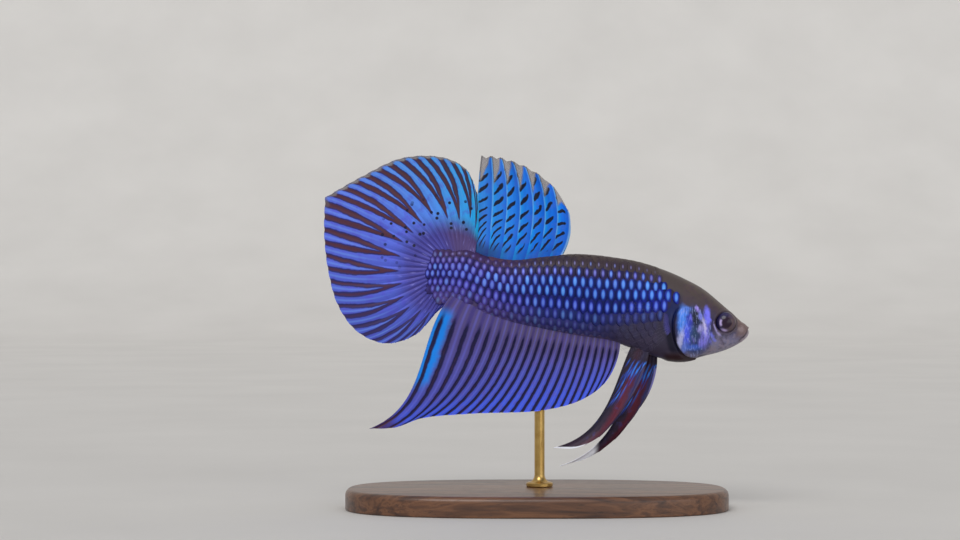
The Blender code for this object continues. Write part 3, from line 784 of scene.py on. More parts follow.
def pelvic_material(key, groups, white_from, hem, lead):
    """Near black with wine in the middle, blue strokes above and a white end."""
    fin = FinPaint(key, groups)
    x, _, _ = split(fin.point)
    place = fin.across + (fin.tone - 0.5) * 0.4
    colour = ramp(place, (0.0, (28, 24, 46)), (0.2, (48, 32, 54)), (0.42, (104, 34, 54)),
                  (0.62, (84, 34, 60)), (0.8, (46, 48, 104)), (1.0, (58, 40, 72)))
    colour = layers(
        colour,
        (fin.outward.step(0.3, 0.1) * 0.8, (40, 30, 46)),
        (fin.outward.step(0.66, 0.9) * 0.5, (56, 34, 50)))
    strands = noise(join(fin.cell * 0.8 + fin.outward * 3.4, fin.outward * 2.2), 2.0, 2.0)
    strokes = strands.step(0.47, 0.56) * fin.outward.step(0.03, 0.09)
    strokes = strokes * (fin.outward + fin.across * 0.35).step(0.6, 0.44) * fin.across.step(0.02, 0.1)
    colour = mix(strokes * 0.95, colour, mix(strands.step(0.54, 0.64), (40, 70, 176), (60, 136, 236)))
    patches = fin.tone.step(0.54, 0.66) * fin.outward.step(0.4, 0.55) * fin.outward.step(0.92, 0.75)
    colour = mix(patches * 0.5, colour, (50, 64, 130))
    edge = fin.across.step(0.9, 0.98) * fin.outward.step(0.08, 0.16) * fin.outward.step(0.8, 0.5)
    colour = mix(edge * lead, colour, (150, 150, 226))
    tip = fin.length(17.0, 8.0).step(hem * 1.3, hem * 0.7) * x.step(white_from + 0.7, white_from - 0.5)
    colour = mix(tip, colour, (236, 238, 246))
    return fin.finish(colour, fin.tone.math("MAXIMUM", tip))


def pectoral_material(groups):
    fin = FinPaint("pectoral", groups)
    foot = (fin.outward + (fin.tone - 0.5) * 0.06).step(0.12, 0.05)
    solid = foot * 0.4 + fin.ray * 0.03 + 0.02
    colour = mix(foot, (92, 88, 122), (84, 80, 160))
    feed(fin.shader, Base_Color=colour, Alpha=solid, Normal=bump(fin.relief, 0.2, 0.04))
    return fin.material


def eye_material():
    """A near-black pupil and a dark plum iris under a clear coat, with two painted highlights on the iris.
    """
    material, tree, shader = new_material(
        "betta_eye", Roughness=0.3, Specular_IOR_Level=0.15, Coat_Weight=0.45, Coat_Roughness=0.04)
    point = place_in_mm(tree)
    x, _, z = split(point)
    across, up = x - EYE[0] - 0.05, z - EYE[2]
    far = (across ** 2.0 + up ** 2.0) ** 0.5
    tone = noise(point, 2.6, 3.0)
    front = (across + up * -0.35 + (tone - 0.5) * 0.8).step(-0.6, 1.0)
    iris = mix(front, (30, 24, 62), (92, 72, 76))
    iris = layers(
        iris,
        (far.near(1.22, 0.3) * tone.step(0.4, 0.6) * 0.6, (78, 66, 110)),
        (far.step(1.1, 1.4) * 0.8, mix(front, (40, 36, 78), (88, 72, 76))))
    colour = mix((far + (tone - 0.5) * 0.2).step(0.74, 0.98), (38, 16, 40), iris)
    # painted highlights: a pale crescent at the rear rim of the pupil and a pale spot below it, standing
    # for the eye's reflections
    turn = up.math("ARCTAN2", across)
    rear = turn.math("ABSOLUTE").step(2.4, 2.8) * far.near(0.9, 0.3)
    under = turn.near(-1.85, 0.62) * far.near(1.24, 0.34)
    colour = mix(rear.math("MAXIMUM", under) * 0.95, colour, (206, 186, 240))
    feed(shader, Base_Color=colour)
    return material


def walnut_material():
    material, tree, shader = new_material("oiled_walnut", Coat_Weight=0.3, Coat_Roughness=0.18)
    point = place_in_mm(tree)
    along = vector_math("MULTIPLY", point, (0.05, 0.62, 0.62))
    bend = noise(along, 0.6, 2.0, "Color")
    rings = noise(vector_math("MULTIPLY_ADD", bend, (2.4, 2.4, 2.4), along), 1.4, 6.0)
    pores = noise(vector_math("MULTIPLY", point, (0.5, 6.0, 6.0)), 1.0, 2.0)
    colour = ramp(rings, (0.3, (58, 34, 22)), (0.48, (92, 58, 36)), (0.58, (116, 76, 48)),
                  (0.74, (74, 44, 28)))
    dent = pores.step(0.6, 0.72)
    colour = mix(dent * 0.6, colour, (40, 24, 16))
    feed(shader, Base_Color=colour, Roughness=pores * 0.25 + 0.32, Normal=bump(1.0 - dent, 0.3, 0.05))
    return material


def brass_material():
    material, tree, shader = new_material("brushed_brass", Metallic=1.0)
    point = place_in_mm(tree)
    rub = noise(vector_math("MULTIPLY", point, (1.0, 1.0, 14.0)), 1.2, 3.0)
    tarnish = noise(point, 0.5, 4.0)
    colour = ramp(tarnish, (0.35, (206, 172, 104)), (0.65, (184, 146, 82)))
    feed(shader, Base_Color=colour, Roughness=rub * 0.2 + 0.22, Normal=bump(rub, 0.1, 0.02))
    return material


def floor_material():
    material, tree, shader = new_material("pale_floor", Roughness=0.7)
    tone = noise(place_in_mm(tree), 0.02, 3.0)
    feed(shader, Base_Color=ramp(tone, (0.3, (206, 203, 198)), (0.7, (212, 209, 204))))
    return material


# --- the skin and its scales ----------------------------------------------------------

EYE = box_of("eye_left")[2]
COVER = box_of("gill_cover_left")[2]
COVER_SIZE, COVER_TILT = (2.9, 4.0), math.radians(10)
GAPE = ((31.75, 26.3), (33.7, 28.0))      # the corner of the mouth and its line's front end
STALK_END = BODY[1, 0]                    # behind it the body rounds off into the tail fin
STALK = (-12.0, 36.5)                     # a point well inside the tail stalk
RINGS_AROUND = 240
SCALE_SIZE = 0.84                         # half a scale's length and width, by its pitch
# Each scale row's share of the way from the back to the belly's middle line, at the tail.
# The last ones only come round the belly where the rows are drawn up behind the head.
SCALE_ROWS = np.array((0.045, 0.145, 0.245, 0.35, 0.46, 0.597, 0.712, 0.82, 0.91, 1.0, 1.12, 1.25, 1.4))


def skin_places():
    """X of the skin's rings, closer together on the head and at both rounded ends."""
    quarter = np.linspace(0.0, math.pi / 2, 16)[1:]
    tail = TAIL_X + TAIL_ROUND * (1 - np.cos(quarter))
    trunk = np.arange(tail[-1] + 0.2, 20.0, 0.2)
    head = np.arange(20.0, SNOUT_X - SNOUT_ROUND, 0.085)
    snout = SNOUT_X - SNOUT_ROUND * (1 - np.cos(quarter[::-1]))
    return np.concatenate([tail, trunk, head, snout])


def body_surface(x, angle):
    """Points of the solids' form and their outward directions."""
    step = 0.02
    inside = np.clip(x, TAIL_X + 2 * step, SNOUT_X - 2 * step)
    points = on_body(x, angle)
    along = on_body(inside + step, angle) - on_body(inside - step, angle)
    around = on_body(inside, angle + 0.01) - on_body(inside, angle - 0.01)
    outward = np.cross(along, around)
    length = np.linalg.norm(outward, axis=-1, keepdims=True)
    return points, outward / np.maximum(length, 1e-9)


def cover_place(x, z):
    """How far out of the gill cover's middle a point is, and how much it lies behind or below."""
    dx, dz = x - COVER[0], z - COVER[2]
    across = (dx * math.cos(COVER_TILT) + dz * math.sin(COVER_TILT)) / COVER_SIZE[0]
    up = (dz * math.cos(COVER_TILT) - dx * math.sin(COVER_TILT)) / COVER_SIZE[1]
    reach = (np.abs(across) ** 2.35 + np.abs(up) ** 2.35) ** (1 / 2.35)
    behind = (-0.9 * across - 0.35 * up) / np.maximum(reach, 0.05)
    return reach, smoothstep(-0.15, 0.4, behind)


def sculpt(points):
    """Relief on the skin, in millimetres outwards, and the masks its paint reads."""
    x, y, z = points[..., 0], np.abs(points[..., 1]), points[..., 2]
    reach, behind = cover_place(x, z)
    side = smoothstep(0.6, 1.6, y)
    flap = smoothstep(1.02, 0.97, reach) * smoothstep(0.3, 0.97, reach) * behind * side
    slit = ridge(reach - 1.075, 0.05) * behind * side
    web = smoothstep(24.9, 23.9, z) * smoothstep(19.3, 20.6, x) * smoothstep(25.2, 24.8, x)
    far = np.hypot(x - EYE[0], z - EYE[2])
    socket = 0.12 * smoothstep(1.9, 1.62, far) + 1.2 * smoothstep(1.6, 1.2, far)
    rim = ridge(far - 1.86, 0.2)
    (gape_x, gape_z), (front_x, front_z) = GAPE
    length = math.hypot(front_x - gape_x, front_z - gape_z)
    along = ((x - gape_x) * (front_x - gape_x) + (z - gape_z) * (front_z - gape_z)) / length
    above = ((z - gape_z) * (front_x - gape_x) - (x - gape_x) * (front_z - gape_z)) / length
    mouth = smoothstep(-0.2, 0.12, along)
    gape = ridge(above, 0.12) * mouth
    lips = ridge(np.abs(above) - 0.3, 0.16) * mouth
    nostril = np.hypot(x - 31.95, z - 28.5)
    cheek_fold = ridge((x - 26.0) - 0.12 * (z - 28.0), 0.16)
    cheek_fold = cheek_fold * smoothstep(4.0, 2.6, np.abs(z - 28.3)) * side
    back_sheath = ridge(y, 0.55) * smoothstep(-10.4, -9.0, x) * smoothstep(5.0, 3.6, x) * (z > 34)
    belly_sheath = ridge(y, 0.6) * smoothstep(-15.0, -13.4, x) * smoothstep(13.9, 12.4, x) * (z < 34)
    arm = ridge(np.hypot((x - 20.4) / 0.75, (z - 29.0) / 1.7), 1.0) * side
    relief = (
        0.2 * flap - 0.38 * slit + 0.22 * web - socket + 0.1 * rim - 0.34 * gape + 0.12 * lips
        - 0.16 * ridge(nostril, 0.13) + 0.05 * ridge(nostril - 0.28, 0.09) - 0.07 * cheek_fold
        + 0.06 * back_sheath + 0.1 * belly_sheath + 0.3 * arm * (reach > 1.05)
    )
    masks = {
        "cover": smoothstep(1.03, 0.97, reach) * side,
        "slot": smoothstep(1.0, 1.05, reach) * smoothstep(1.62, 1.38, reach) * behind * side,
        "membrane": web * smoothstep(0.98, 1.06, reach),
        "orbit": smoothstep(2.1, 1.75, far) * side,
        "arc": ridge(far - 1.86 - 0.35 * smoothstep(28.6, 26.6, z), 0.13)
               * smoothstep(29.8, 28.9, z) * smoothstep(29.0, 28.4, x) * side,
        "lip": smoothstep(-0.62, -0.4, above) * smoothstep(-0.02, -0.14, above) * mouth,
        "gape": gape,
    }
    return relief, masks


def snout_lift(points):
    """The upper jaw reaches a little higher at its tip than the solid's even end."""
    x, z = points[..., 0], points[..., 2]
    return 0.42 * smoothstep(32.1, 33.3, x) * smoothstep(26.9, 27.7, z)


def around_shares(x):
    """Angles and their share of the way round the body's section, for each x."""
    angle = np.linspace(0.0, 2 * math.pi, 361)[None, :]
    ring = on_body(np.asarray(x, float)[:, None], angle)
    step = np.linalg.norm(np.diff(ring, axis=1), axis=2)
    length = np.concatenate([np.zeros((len(step), 1)), np.cumsum(step, axis=1)], axis=1)
    return angle[0], length / length[:, -1:], length[:, -1]


def drawn_up(x):
    """How much closer together the rows of scales run behind the head."""
    return np.interp(x, (10.0, 13.0, 16.2, 19.4, 21.3), (1.0, 0.94, 0.84, 0.73, 0.67))


def row_places(x, row):
    """How far round the rows run at x."""
    return (row + 0.05 * smoothstep(-2.0, 8.0, x) * (1 - row / 0.6) * (row > 0.1)) * drawn_up(x)


def belly_share(x, row):
    """Where the flank turns to the plain dull belly, behind the gill cover."""
    return smoothstep(6.0, 15.0, x) * smoothstep(0.62, 0.8, row)


def make_skin(material):
    places = skin_places()
    share = np.arange(RINGS_AROUND) / RINGS_AROUND
    angles, shares, _ = around_shares(places)
    angle = np.array([np.interp(share, row, angles) for row in shares])
    x = np.repeat(places[:, None], RINGS_AROUND, axis=1)
    points, outward = body_surface(x, angle)
    relief, masks = sculpt(points)
    points = points + outward * (relief - COAT)[..., None]
    points[..., 2] += snout_lift(points)
    ends = np.array([(TAIL_X + COAT, 0, BODY[0, 1:3].mean()), (SNOUT_X - COAT, 0, BODY[-1, 1:3].mean())])
    ends[:, 2] += snout_lift(ends)
    rings, around = x.shape
    skin = make_piece("skin", np.vstack([points.reshape(-1, 3), ends]), tube_faces(rings, around))
    half_share = np.minimum(share, 1 - share) * 2
    masks["share"] = np.repeat(half_share[None, :], rings, axis=0)
    x, z = points[..., 0], points[..., 2]
    masks["along"] = (x - TAIL_X) / (SNOUT_X - TAIL_X)
    masks["belly"] = belly_share(x, masks["share"] / drawn_up(x))
    masks["nape"] = smoothstep(13.0, 20.0, x) * smoothstep(0.4, 0.24, masks["share"])
    masks["front"] = smoothstep(20.8, 23.6, x - 0.15 * (z - 29.0))
    write_attributes(skin.data, {name: np.append(values.ravel(), (values[0, 0], values[-1, 0]))
                                 for name, values in masks.items()})
    write_map(skin.data, wrap_places(places, around))
    nodes = ("head", "lower_jaw", "trunk", "tail_stalk", "gill_cover_left", "gill_cover_right")
    return finish_piece(skin, material, "scaled_skin", *nodes)


def wrap_places(places, around):
    """The skin's own unwrap, for each face's corners: along the body, then round it."""
    along = inset((places - places[0]) / (places[-1] - places[0]))
    turn = inset(np.arange(around + 1) / around)
    before, after, middle = turn[:-1], turn[1:], (turn[:-1] + turn[1:]) / 2
    strips = [((b, before), (b, after), (a, after), (a, before)) for a, b in zip(along, along[1:])]
    strips.append(((along[0], before), (along[0], after), (0.0, middle)))
    strips.append(((along[-1], after), (along[-1], before), (1.0, middle)))
    return np.vstack([np.stack([np.stack([x + 0 * y, y], axis=1) for x, y in strip], axis=1).reshape(-1, 2)
                      for strip in strips])


def scale_pitch(x):
    """The distance from one scale to the next in its row: small near the tail."""
    return float(np.interp(x, (-16.5, -14.0, -11.0, -6.0, 20.0), (0.78, 0.95, 1.1, 1.22, 1.27)))


def scale_columns():
    """X of the scales' columns on the middle of the flank, half a pitch apart."""
    x, columns = 24.6, []
    while x > -17.6:
        columns.append(x)
        x -= scale_pitch(x) / 2
    return np.array(columns)


def scale_places():
    """Every scale's X, angle, row, pitch, room to the next row, and 1 for the foremost ones."""
    found, columns = [], scale_columns()
    angles, shares, girth = around_shares(np.clip(columns, STALK_END, None))
    front = np.interp(SCALE_ROWS, (0.14, 0.24, 0.35, 0.46, 0.6, 0.71, 0.82, 1.4),
                      (20.0, 20.6, 21.2, 22.1, 21.4, 20.0, 19.4, 18.5))
    for c, x in enumerate(columns):
        places = row_places(x, SCALE_ROWS)
        wide = np.gradient(places) / 2
        for row in range(c % 2, len(SCALE_ROWS), 2):
            if x < front[row] and places[row] < 0.985 and (row > 0 or x > -7.5):
                angle = float(np.interp(places[row] / 2, shares[c], angles))
                first = float(smoothstep(front[row] - 1.9, front[row] - 0.6, x))
                found.append((x, angle, row, scale_pitch(x), girth[c] * wide[row], first))
    return np.array(found).T


def scale_roots(caudal):
    """Where every scale of the left side grows, which way it faces, and its measures."""
    x, angle, row, pitch, spacing, first = scale_places()
    kept_x = np.maximum(x, STALK_END)
    points, outward = body_surface(np.maximum(x, TAIL_X + 0.1), angle)
    behind = on_body(kept_x - 0.05, angle) - on_body(kept_x + 0.05, angle)
    behind = behind * 10.0 + smoothstep(-14.0, -2.0, x)[:, None] * (-6.0, 0.0, 0.0)
    relief, _ = sculpt(points)
    points = points + outward * (np.clip(relief, -0.1, 0.2) - COAT + 0.03 - 0.09 * first)[:, None]
    # Round the end of the body the rows run on over the tail fin's thick foot.
    flat_x = np.minimum(x, 0.0)
    z = on_body(np.maximum(flat_x, STALK_END), angle)[:, 2]
    y, past = tail_width(flat_x, z, caudal)
    slope_x = (tail_width(flat_x + 0.05, z, caudal)[0] - y) / 0.05
    slope_z = (tail_width(flat_x, z + 0.05, caudal)[0] - y) / 0.05
    over = (y > np.abs(points[:, 1])) & (x < -9.0) | (x < STALK_END)
    normal = np.stack([-slope_x, 1 + 0 * x, -slope_z], axis=1)
    points[over] = np.stack([x, y, z], axis=1)[over]
    outward[over] = (normal / np.linalg.norm(normal, axis=1)[:, None])[over]
    near, middle, after = (on_body(kept_x, angle + turn) for turn in (-0.12, 0.0, 0.12))
    width = np.linalg.norm(after - near, axis=1)
    bend = np.linalg.norm(near + after - 2 * middle, axis=1) / (width / 2) ** 2
    upright = np.abs(after - near)[:, 2] / width
    values = {
        "points": points, "outward": outward, "behind": behind, "x": x, "row": row.astype(int),
        "pitch": pitch, "spacing": spacing * np.where(over, np.clip(upright * 1.1, 0.35, 1.0), 1.0),
        "first": first, "bend": np.where(over, 0.0, bend), "fade": smoothstep(0.45, -0.35, past),
    }
    keep = (past < 0.3) & ((x > STALK_END) | (y > 0.1))
    return {key: value[keep] for key, value in values.items()}


def tail_width(x, z, caudal):
    """Half the width at points of the side view near the tail, and how far past the body
    they are."""
    middle, depth, half = body_at(np.maximum(x, TAIL_X + 0.01))
    lean = np.clip(np.abs(z - middle) / np.maximum(depth, 0.05), 0.0, 1.0) ** ROUND
    flesh = np.where(x > TAIL_X, half * (1 - lean) ** (1 / ROUND), 0.0)
    offset = np.hypot(caudal.root[:, 0] - x[:, None], caudal.root[:, 1] - z[:, None])
    nearest = np.argmin(offset, axis=1)
    root = caudal.root[nearest]
    inside = np.hypot(x - STALK[0], z - STALK[1]) < np.hypot(*(root - STALK).T)
    past = np.where(inside, -1, 1) * offset.min(axis=1)
    foot = 0.26 + TAIL_FOOT * smoothstep(0.14, -0.1, past / 16.0)
    foot = np.where((nearest > 0) & (nearest < len(caudal.root) - 1), foot, 0.0)
    return np.maximum(flesh - COAT + 0.03, foot + 0.02), np.where(x > -9.5, -5.0, past)


def scale_fields(roots):
    """What the coat's tree and paint read at each root."""
    x, row, pitch, spacing = (roots[key] for key in ("x", "row", "pitch", "spacing"))
    share = SCALE_ROWS[row]
    tail = smoothstep(-2.0, -12.0, x)
    nape = smoothstep(13.0, 20.0, x) * smoothstep(0.34, 0.2, share)
    strength = np.interp(share, (0.05, 0.14, 0.25, 0.35, 0.6, 0.71, 0.82, 0.92, 1.0),
                         (0.0, 0.6, 0.85, 1.0, 1.0, 0.75, 0.6, 0.45, 0.1))
    strength = np.maximum(strength, 0.75 * smoothstep(-11.0, -14.0, x))
    low_side = smoothstep(0.6, 0.7, share) * smoothstep(0.98, 0.86, share)
    strength = strength + tail * (0.9 - strength) * low_side
    strength = strength * (1 - 0.92 * belly_share(x + 1.0, share)) * roots["fade"]
    strength = strength * (1 - 0.8 * nape * smoothstep(0.24, 0.15, share))
    small = smoothstep(0.36, 0.12, share) * smoothstep(-16.0, -12.0, x)
    wide = 0.235 - 0.13 * small + 0.075 * tail
    tall = 0.74 - 0.38 * small - 0.14 * tail - 0.14 * smoothstep(-12.0, -16.0, x)
    flat = 1 - 0.6 * np.maximum(smoothstep(0.2, 0.06, share) * (1 - tail), 1.25 * belly_share(x, share))
    flat = flat * pitch / 1.25 * (1 - 0.6 * smoothstep(15.0, 20.0, x) * smoothstep(0.5, 0.3, share))
    curl = np.minimum((SCALE_SIZE * spacing) ** 2 * roots["bend"] / 2, 1.0)
    length = x.max() - x.min()
    return {
        "share": share, "along": (x - TAIL_X) / (SNOUT_X - TAIL_X), "belly": belly_share(x, share),
        "nape": nape, "first": roots["first"], "curl": curl * MM,
        "spot": np.stack([wide / SCALE_SIZE, tall / spacing / SCALE_SIZE, strength], axis=1),
        "size": np.stack([pitch, spacing, flat / SCALE_SIZE], axis=1) * SCALE_SIZE * MM,
        "root": np.stack([0.03 + 0.94 * (x - x.min()) / length, 0.05 + 0.075 * row, 0 * x], axis=1),
        "patch": np.stack([0.42 * pitch / length, 0.034 + 0 * x, 0 * x], axis=1),
    }


def make_scales(name, side, roots, tree, material):
    """One side's coat: instances on the root points, made real."""
    points, outward, behind = (roots[key] * (1, side, 1) for key in ("points", "outward", "behind"))
    coat = make_piece(name, points)
    write_attributes(coat.data, {"outward": outward, "behind": behind} | scale_fields(roots))
    grown(coat, tree, Thickness=0.045, Dome=0.08, Lift=math.radians(5), Seed=7, Material=material)
    return finish_piece(coat, material, "scaled_skin")


# --- Geometry Nodes -------------------------------------------------------------------

def grown(holder, tree, **inputs):
    """Runs the tree on the holder's mesh and leaves a plain mesh in its place."""
    modifier = holder.modifiers.new("growth", "NODES")
    modifier.node_group = tree
    sockets = {item.name: item.identifier for item in tree.interface.items_tree if item.in_out == "INPUT"}
    for name, value in inputs.items():
        modifier[sockets[name]] = value
    graph = bpy.context.evaluated_depsgraph_get()
    mesh = bpy.data.meshes.new_from_object(holder.evaluated_get(graph), depsgraph=graph)
    old = holder.data
    holder.modifiers.clear()
    holder.data = mesh
    bpy.data.meshes.remove(old)
    mesh.name = holder.name


def named(tree, name):
    return add_node(tree, "GeometryNodeInputNamedAttribute", {0: name}, data_type="FLOAT")


def named_vector(tree, name):
    return add_node(tree, "GeometryNodeInputNamedAttribute", {0: name}, data_type="FLOAT_VECTOR")


def store(geometry, name, value, kind="FLOAT2", domain="CORNER"):
    node = add_node(geometry.tree, "GeometryNodeStoreNamedAttribute", {0: geometry},
                    data_type=kind, domain=domain)
    sockets = {socket.identifier: socket for socket in node.socket.node.inputs}
    sockets["Name"].default_value = name
    geometry.tree.links.new(value.socket, sockets["Value"])
    return node


def end_tree(tree, geometry, material):
    smooth = add_node(tree, "GeometryNodeSetShadeSmooth", {0: geometry})
    return close_tree(tree, Geometry=add_node(tree, "GeometryNodeSetMaterial",
                                              {"Geometry": smooth, "Material": material}))


def scale_tree():
    """A thin domed scale on every root point, lifted at its rear edge over the next one."""
    inputs = {"Geometry": "Geometry", "Thickness": "Float", "Dome": "Float", "Lift": "Float", "Seed": "Int",
              "Material": "Material"}
    tree, give = new_tree("scale_coat", "Geometry", inputs, {"Geometry": "Geometry"})
    ball = add_node(tree, "GeometryNodeMeshUVSphere", {"Segments": 14, "Rings": 6, "Radius": 1.0})
    point = add_node(tree, "GeometryNodeInputPosition")
    marked = store(ball, "Scale", point)
    x, y, z = split(point)
    height = z * give["Thickness"] + (1.0 - (x * x + y * y)) * give["Dome"]
    shaped = add_node(tree, "GeometryNodeSetPosition", {"Geometry": marked, "Position": join(x, y, height)})
    turn = add_node(tree, "FunctionNodeAxesToRotation",
                    {0: named_vector(tree, "outward"), 1: named_vector(tree, "behind")},
                    primary_axis="Z", secondary_axis="X")
    stray = [add_node(tree, "FunctionNodeRandomValue", {"Seed": give["Seed"] + k}, out=1, data_type="FLOAT")
             for k in range(3)]
    size = named_vector(tree, "size")
    flat = split(size)[2] / MM
    roll = (stray[0] - 0.5) * flat * 0.06
    pitch = (give["Lift"] * -1.0 - (stray[1] - 0.5) * 0.05) * flat - named(tree, "first") * 0.11
    lift = add_node(tree, "FunctionNodeEulerToRotation", {0: join(roll, pitch)})
    turn = add_node(tree, "FunctionNodeRotateRotation", {0: turn, 1: lift}, rotation_space="LOCAL")
    placed = add_node(tree, "GeometryNodeInstanceOnPoints", {
        "Points": give["Geometry"], "Instance": shaped, "Rotation": turn, "Scale": size})
    placed = store(placed, "chance", stray[2], "FLOAT", "INSTANCE")
    real = add_node(tree, "GeometryNodeRealizeInstances", {0: placed})
    local = named_vector(tree, "Scale")
    down = named(tree, "curl") * split(local)[1] ** 2.0 * -1.0
    curled = vector_math("SCALE", named_vector(tree, "outward"), Scale=down)
    real = add_node(tree, "GeometryNodeSetPosition", {"Geometry": real, "Offset": curled})
    place = vector_math("MULTIPLY_ADD", local, named_vector(tree, "patch"), named_vector(tree, "root"))
    return end_tree(tree, store(real, "OFBake", place), give["Material"])


def ray_tree():
    """Round rods along every line of the holder, as thick as their half_width says."""
    inputs = {"Geometry": "Geometry", "Sides": "Int", "Material": "Material"}
    tree, give = new_tree("ray_rods", "Geometry", inputs, {"Geometry": "Geometry"})
    lines = add_node(tree, "GeometryNodeMeshToCurve", {0: give["Geometry"]})
    ring = add_node(tree, "GeometryNodeCurvePrimitiveCircle",
                    {"Resolution": give["Sides"], "Radius": 1.0})
    rods = add_node(tree, "GeometryNodeCurveToMesh", {
        "Curve": lines, "Profile Curve": ring, "Scale": named(tree, "half_width"), "Fill Caps": True,
    })
    place = join(named(tree, "cell"), named(tree, "outward_share"))
    real = add_node(tree, "GeometryNodeRealizeInstances", {0: store(rods, "Rays", place)})
    return end_tree(tree, real, give["Material"])


# --- fins -----------------------------------------------------------------------------

class Fin:
    """The run of a fin's rays, by share across the rays and share out from the root."""

    def __init__(self, key, root, out=(0.0, 0.0), dip=0.0):
        fin = FINS[key]
        self.rays, self.sheet, self.rods = fin["rays"], fin["sheet"], fin.get("rods")
        self.root, self.out, self.dip = root, out, dip
        self.edge = np.vstack([smooth_run(run) for run in fin["edge"]])
        self.pace, self.spread = (fin.get(key, ((0, 1), (0, 1))) for key in ("pace", "spread"))
        self.bow, self.wave = np.array(fin["bow"]), fin["wave"]

    def at(self, across, outward):
        """Points of the fin's middle sheet; pace sets the rays' places along the root."""
        across = np.interp(across, *self.pace)
        start = at_shares(self.root, across)
        end = at_shares(self.edge, np.interp(across, *self.spread))
        chord = end - start
        side = np.stack([chord[..., 1], -chord[..., 0]], axis=-1)
        knots = np.linspace(0.0, 1.0, len(self.bow))
        near, far = (np.interp(across, knots, self.bow[:, i])[..., None] for i in (0, 1))
        a, b = start + chord / 3 + side * near, start + chord * 2 / 3 + side * far
        v = np.asarray(outward)[..., None]
        w = 1 - v
        flat = w ** 3 * start + 3 * v * w * w * a + 3 * v * v * w * b + v ** 3 * end
        size, waves, way = self.wave
        v = v[..., 0]
        wave = way * size * np.sin(np.clip(v, 0, None) * math.pi / 2) * np.cos(waves * math.pi * across)
        y = self.out[0] + (self.out[1] - self.out[0]) * v + wave + self.dip * np.minimum(v, 0.0)
        return np.stack([flat[..., 0], y, flat[..., 1]], axis=-1)


def make_membrane(name, fin, steps, rows, below, thick, scallop=0.0, pleat=0.0, rib=0.0, foot=(0.0, 0.1)):
    """A thin closed sheet over all the rays, drawn in between their tips, fleshy at its foot."""
    columns = (fin.rays - 1) * steps + 1
    across = np.repeat(np.linspace(0.0, 1.0, columns)[:, None], rows, axis=1)
    cell = across * (fin.rays - 1)
    between = 1 - np.abs((cell % 1.0) * 2 - 1)
    share = np.linspace(0.0, 1.0, rows)[None, :] + 0 * across
    reach = 1.0 - scallop * between ** 1.5
    outward = below + (reach - below) * share
    middle = fin.at(across, outward)
    fold = np.clip(outward, 0.0, 1.0) ** 0.7 * pleat * np.where(np.floor(cell) % 2 < 1, 1.0, -1.0) * between
    half = thick[1] + (thick[0] - thick[1]) * (1 - np.clip(outward, 0.0, 1.0)) ** 2.0
    half = half * (1 - 0.25 * between) + foot[0] * smoothstep(foot[1], -0.1, outward)
    rib = rib * smoothstep(-0.02, 0.12, outward) * (1 - 0.5 * np.clip(outward, 0, 1))
    half = half + rib * np.sqrt(1 - between ** 2)
    sides = [middle + np.stack([0 * fold, fold + way * half, 0 * fold], axis=-1) for way in (-1, 1)]
    number = np.arange(columns * rows).reshape(columns, rows)
    back = number + columns * rows
    strips = [(number[i], number[i + 1]) for i in range(columns - 1)]
    strips += [(back[i + 1], back[i]) for i in range(columns - 1)]
    strips += [(back[:, 0], number[:, 0]), (number[:, -1], back[:, -1])]
    strips += [(number[0], back[0]), (back[-1], number[-1])]
    faces = np.vstack([quads(*strip) for strip in strips]).tolist()
    piece = make_piece(name, np.vstack([s.reshape(-1, 3) for s in sides]), faces)
    rays = np.stack([cell.ravel(), outward.ravel()], axis=1)
    write_map(piece.data, np.vstack([rays, rays]), "Rays")
    flat_map(piece)
    return piece


def make_rays(name, fin, tree, material, below, fork, spread, radii, folds=48):
    """Round rods along every ray, forked towards its tip."""
    lines = []
    for ray in range(fin.rays):
        lines.append((np.full(folds, float(ray)), np.linspace(below, fork, folds)))
        branch = np.linspace(fork, 1.0, folds)
        for tip in (-spread, spread) if fork < 1 else ():
            cell = ray + tip * ((branch - fork) / (1 - fork)) ** 0.8
            if 0 <= cell[-1] <= fin.rays - 1:
                lines.append((cell, branch))
    edges = [(k, k + 1) for k in range(len(lines) * folds) if (k + 1) % folds]
    cell, outward = np.hstack(lines)
    half = radii[1] + (radii[0] - radii[1]) * (1 - np.clip(outward, 0, 1)) ** 1.4
    holder = make_piece(name, fin.at(cell / (fin.rays - 1), outward), edges=edges)
    write_attributes(holder.data, {"cell": cell, "outward_share": outward, "half_width": half * MM})
    grown(holder, tree, Sides=6, Material=material)
    flat_map(holder)
    return holder


def make_fin(fin, kind, side, material, slot, rods):
    """The membrane takes the place of the fin's solid, with the rays on it."""
    sheet = make_membrane(f"{kind}_membrane{side}", fin, **fin.sheet)
    finish_piece(sheet, material, slot, f"{kind}_fin{side}")
    if fin.rods:
        finish_piece(make_rays(f"{kind}_rays{side}", fin, rods, material, **fin.rods), material, slot)


def caudal_run():
    """The tail fin's rays start right round the end of the body."""
    over = np.vstack([profile(CAUDAL_ROOT[0], TAIL_X, "top"),
                      profile(TAIL_X, CAUDAL_ROOT[1], "bottom")[1:]])
    return Fin("caudal", set_off(over, 0.3))


